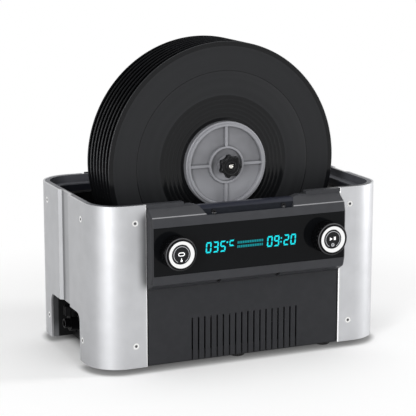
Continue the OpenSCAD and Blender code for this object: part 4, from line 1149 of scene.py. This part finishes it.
class CLEANER_OT_drive(bpy.types.Operator):
    """Drive head behind the records, with its motor, gears and bearings"""

    bl_idname = "cleaner.drive"
    bl_label = "Drive head"

    def execute(self, context):
        look = context.scene.cleaner_body
        head = moulded("head_plastic", (0.022, 0.0225, 0.024), 0.44)
        dress(head, "drive_housing", "drive_cover", rounding=look.edge_round)
        dress(ground_steel("motor_can", (0.52, 0.52, 0.53), roughness=0.3), "gear_motor")
        dress(ground_steel("bearing_steel", (0.66, 0.66, 0.67), roughness=0.16), "head_bearings")
        dress(machined("pinion_brass", (0.62, 0.45, 0.18), middle("motor_pinion"), "y"),
              "motor_pinion")
        dress(moulded("gear_nylon", (0.68, 0.66, 0.58), 0.4, wear_and_highlight=0.1), "spindle_gear")
        return {"FINISHED"}


class CLEANER_OT_electrics(bpy.types.Operator):
    """Boards, rotary controls, mains inlet with its switch, and the fan"""

    bl_idname = "cleaner.electrics"
    bl_label = "Electrics"

    def execute(self, context):
        for name, tint in (("display_board", (0.01, 0.075, 0.03)),
                           ("generator_board", (0.01, 0.075, 0.03)),
                           ("power_supply", (0.16, 0.11, 0.03))):
            low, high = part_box(name)
            front = low.y + 3.9 * MM if name == "display_board" else high.y - 4.7 * MM
            dress(circuit(name + "_mask", tint, front), name)
        dress(ground_steel("control_can", (0.55, 0.55, 0.56)), "left_encoder", "right_encoder")
        black = moulded("device_plastic", (0.017, 0.017, 0.018), 0.42)
        dress(black, "power_inlet", "fan_frame", rounding=0.3 * MM)
        dress(black, "fan_rotor")
        rocker = moulded("rocker_plastic", (0.30, 0.010, 0.008), 0.25, wear_and_highlight=0.2)
        dress(rocker, "power_rocker", rounding=0.3 * MM)
        return {"FINISHED"}


class CLEANER_OT_drain(bpy.types.Operator):
    """Drain valve in the left opening, and its ribbed knob"""

    bl_idname = "cleaner.drain"
    bl_label = "Drain"

    def execute(self, context):
        # Valve and knob near black: painted shade inside the left opening.
        valve = moulded("valve_plastic", (0.002, 0.002, 0.0022), 0.4, wear_and_highlight=0.0, level=0.03)
        dress(valve, "drain_valve", rounding=0.35 * MM)
        knob = moulded("knob_plastic", (0.003, 0.003, 0.0033), 0.42, wear_and_highlight=0.6, level=0.05)
        dress(knob, "drain_knob", rounding=0.35 * MM)
        return {"FINISHED"}


LAMPS = (  # name, place, target, width, height and power
    ("left_strip", (-1.50, -1.455, 0.70), (-0.18, -0.10, 0.55), 0.66, 1.4, 25.0),
    ("right_strip", (2.00, -0.62, 0.70), (0.18, -0.10, 0.55), 0.45, 1.4, 28.5),
    ("top_softbox", (0.0, 0.2, 2.0), (0.0, 0.0, 0.1), 1.4, 1.4, 7.0),
)


class CLEANER_OT_stage(bpy.types.Operator):
    """Pale floor, soft lamps, plain room light and the camera"""

    bl_idname = "cleaner.stage"
    bl_label = "Stage"

    def aimed(self, name, data, place, target):
        """Adds a camera or a lamp that looks from its place at a target."""
        thing = bpy.data.objects.new(name, data)
        thing.location = place
        aim = Vector(target) - Vector(place)
        thing.rotation_euler = aim.to_track_quat("-Z", "Y").to_euler()
        bpy.context.scene.collection.objects.link(thing)
        return thing

    def room(self, level):
        """White surroundings that light the scene at this level."""
        made = Finish("room", world=True)
        seen, light = (
            made.node("ShaderNodeBackground", {}, {"Color": WHITE, "Strength": strength})
            for strength in (1.0, level)
        )
        return made.surface(made.mix_shaders(made.background_rays(), light, seen))

    def paper(self, look):
        """Floor that turns plain white far off, with the shade of the machine on it."""
        made = Finish("stage_floor")
        x, y, _ = made.axes()
        far = made.radius((0, 0, 0), "z").between(0.27, 0.60)
        across = (abs(x) - (BODY_HALF.x - BODY_CORNER)).at_least(0.0)
        along = (abs(y) - (BODY_HALF.y - BODY_CORNER)).at_least(0.0)
        outside = (across * across + along * along).root() - BODY_CORNER
        opening = (1.0 - abs(y).between(48 * MM, 66 * MM)) * abs(x).between(150 * MM, 172 * MM)
        # Painted shadow of the machine on the floor, weaker in the side openings.
        edge = (1.0 - outside.between(-4 * MM, 9 * MM)) * (1.0 - opening * 0.85)
        under = edge * 0.5 + (1.0 - outside.between(-40 * MM, -14 * MM)) * 0.45
        pale, dark = (
            made.node("ShaderNodeBsdfDiffuse", {}, {"Color": tint})
            for tint in (look.floor, (0.02, 0.02, 0.02))
        )
        lift, pure = (
            made.node("ShaderNodeEmission", {}, {"Color": WHITE, "Strength": strength})
            for strength in (look.lift, 1.0)
        )
        lifted = made.node("ShaderNodeAddShader", {}, {0: pale, 1: lift})
        shown = made.mix_shaders(far, made.mix_shaders(under, lifted, dark), pure)
        matt = made.mix_shaders(under, pale, dark)
        return made.surface(made.mix_shaders(made.background_rays(), matt, shown))

    def execute(self, context):
        look = context.scene.cleaner_stage
        scene = context.scene
        data = bpy.data.cameras.new("camera")
        data.sensor_width = 36.0
        data.lens = look.lens
        scene.camera = self.aimed("camera", data, look.eye, look.target)
        scene.view_settings.view_transform = "Standard"
        scene.world = self.room(look.room)

        mesh = bmesh.new()
        bmesh.ops.create_grid(mesh, x_segments=8, y_segments=8, size=6.0)
        data = bpy.data.meshes.new("floor")
        mesh.to_mesh(data)
        mesh.free()
        data.materials.append(self.paper(look))
        floor = bpy.data.objects.new("floor", data)
        scene.collection.objects.link(floor)

        for name, place, target, width, height, power in LAMPS:
            data = bpy.data.lights.new(name, "AREA")
            data.shape = "RECTANGLE"
            data.size = width
            data.size_y = height
            data.energy = power
            self.aimed(name, data, place, target)
        return {"FINISHED"}


PIECES = (
    CLEANER_OT_shells, CLEANER_OT_panels, CLEANER_OT_housing, CLEANER_OT_display,
    CLEANER_OT_dials, CLEANER_OT_tank, CLEANER_OT_records, CLEANER_OT_clamps,
    CLEANER_OT_drive, CLEANER_OT_electrics, CLEANER_OT_drain, CLEANER_OT_stage,
)
SETTINGS = {
    "cleaner_body": BodySettings, "cleaner_display": DisplaySettings,
    "cleaner_dials": DialSettings, "cleaner_records": RecordSettings,
    "cleaner_clamps": ClampSettings, "cleaner_stage": StageSettings,
}


class CLEANER_PT_panel(bpy.types.Panel):
    """Lists the settings and the pieces"""

    bl_label = "Record cleaner"
    bl_idname = "CLEANER_PT_panel"
    bl_space_type = "VIEW_3D"
    bl_region_type = "UI"
    bl_category = "Record cleaner"

    def draw(self, context):
        for name, group in SETTINGS.items():
            box = self.layout.box()
            box.label(text=name.replace("cleaner_", "").capitalize())
            for key in group.__annotations__:
                box.prop(getattr(context.scene, name), key)
        for piece in PIECES:
            self.layout.operator(piece.bl_idname)


def register():
    for name, group in SETTINGS.items():
        bpy.utils.register_class(group)
        setattr(bpy.types.Scene, name, PointerProperty(type=group))
    for item in (*PIECES, CLEANER_PT_panel):
        bpy.utils.register_class(item)


def unregister():
    for item in (CLEANER_PT_panel, *reversed(PIECES)):
        bpy.utils.unregister_class(item)
    for name, group in SETTINGS.items():
        delattr(bpy.types.Scene, name)
        bpy.utils.unregister_class(group)


def main():
    register()
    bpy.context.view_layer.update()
    for piece in PIECES:
        group, name = piece.bl_idname.split(".")
        getattr(getattr(bpy.ops, group), name)()


if __name__ == "__main__":
    main()
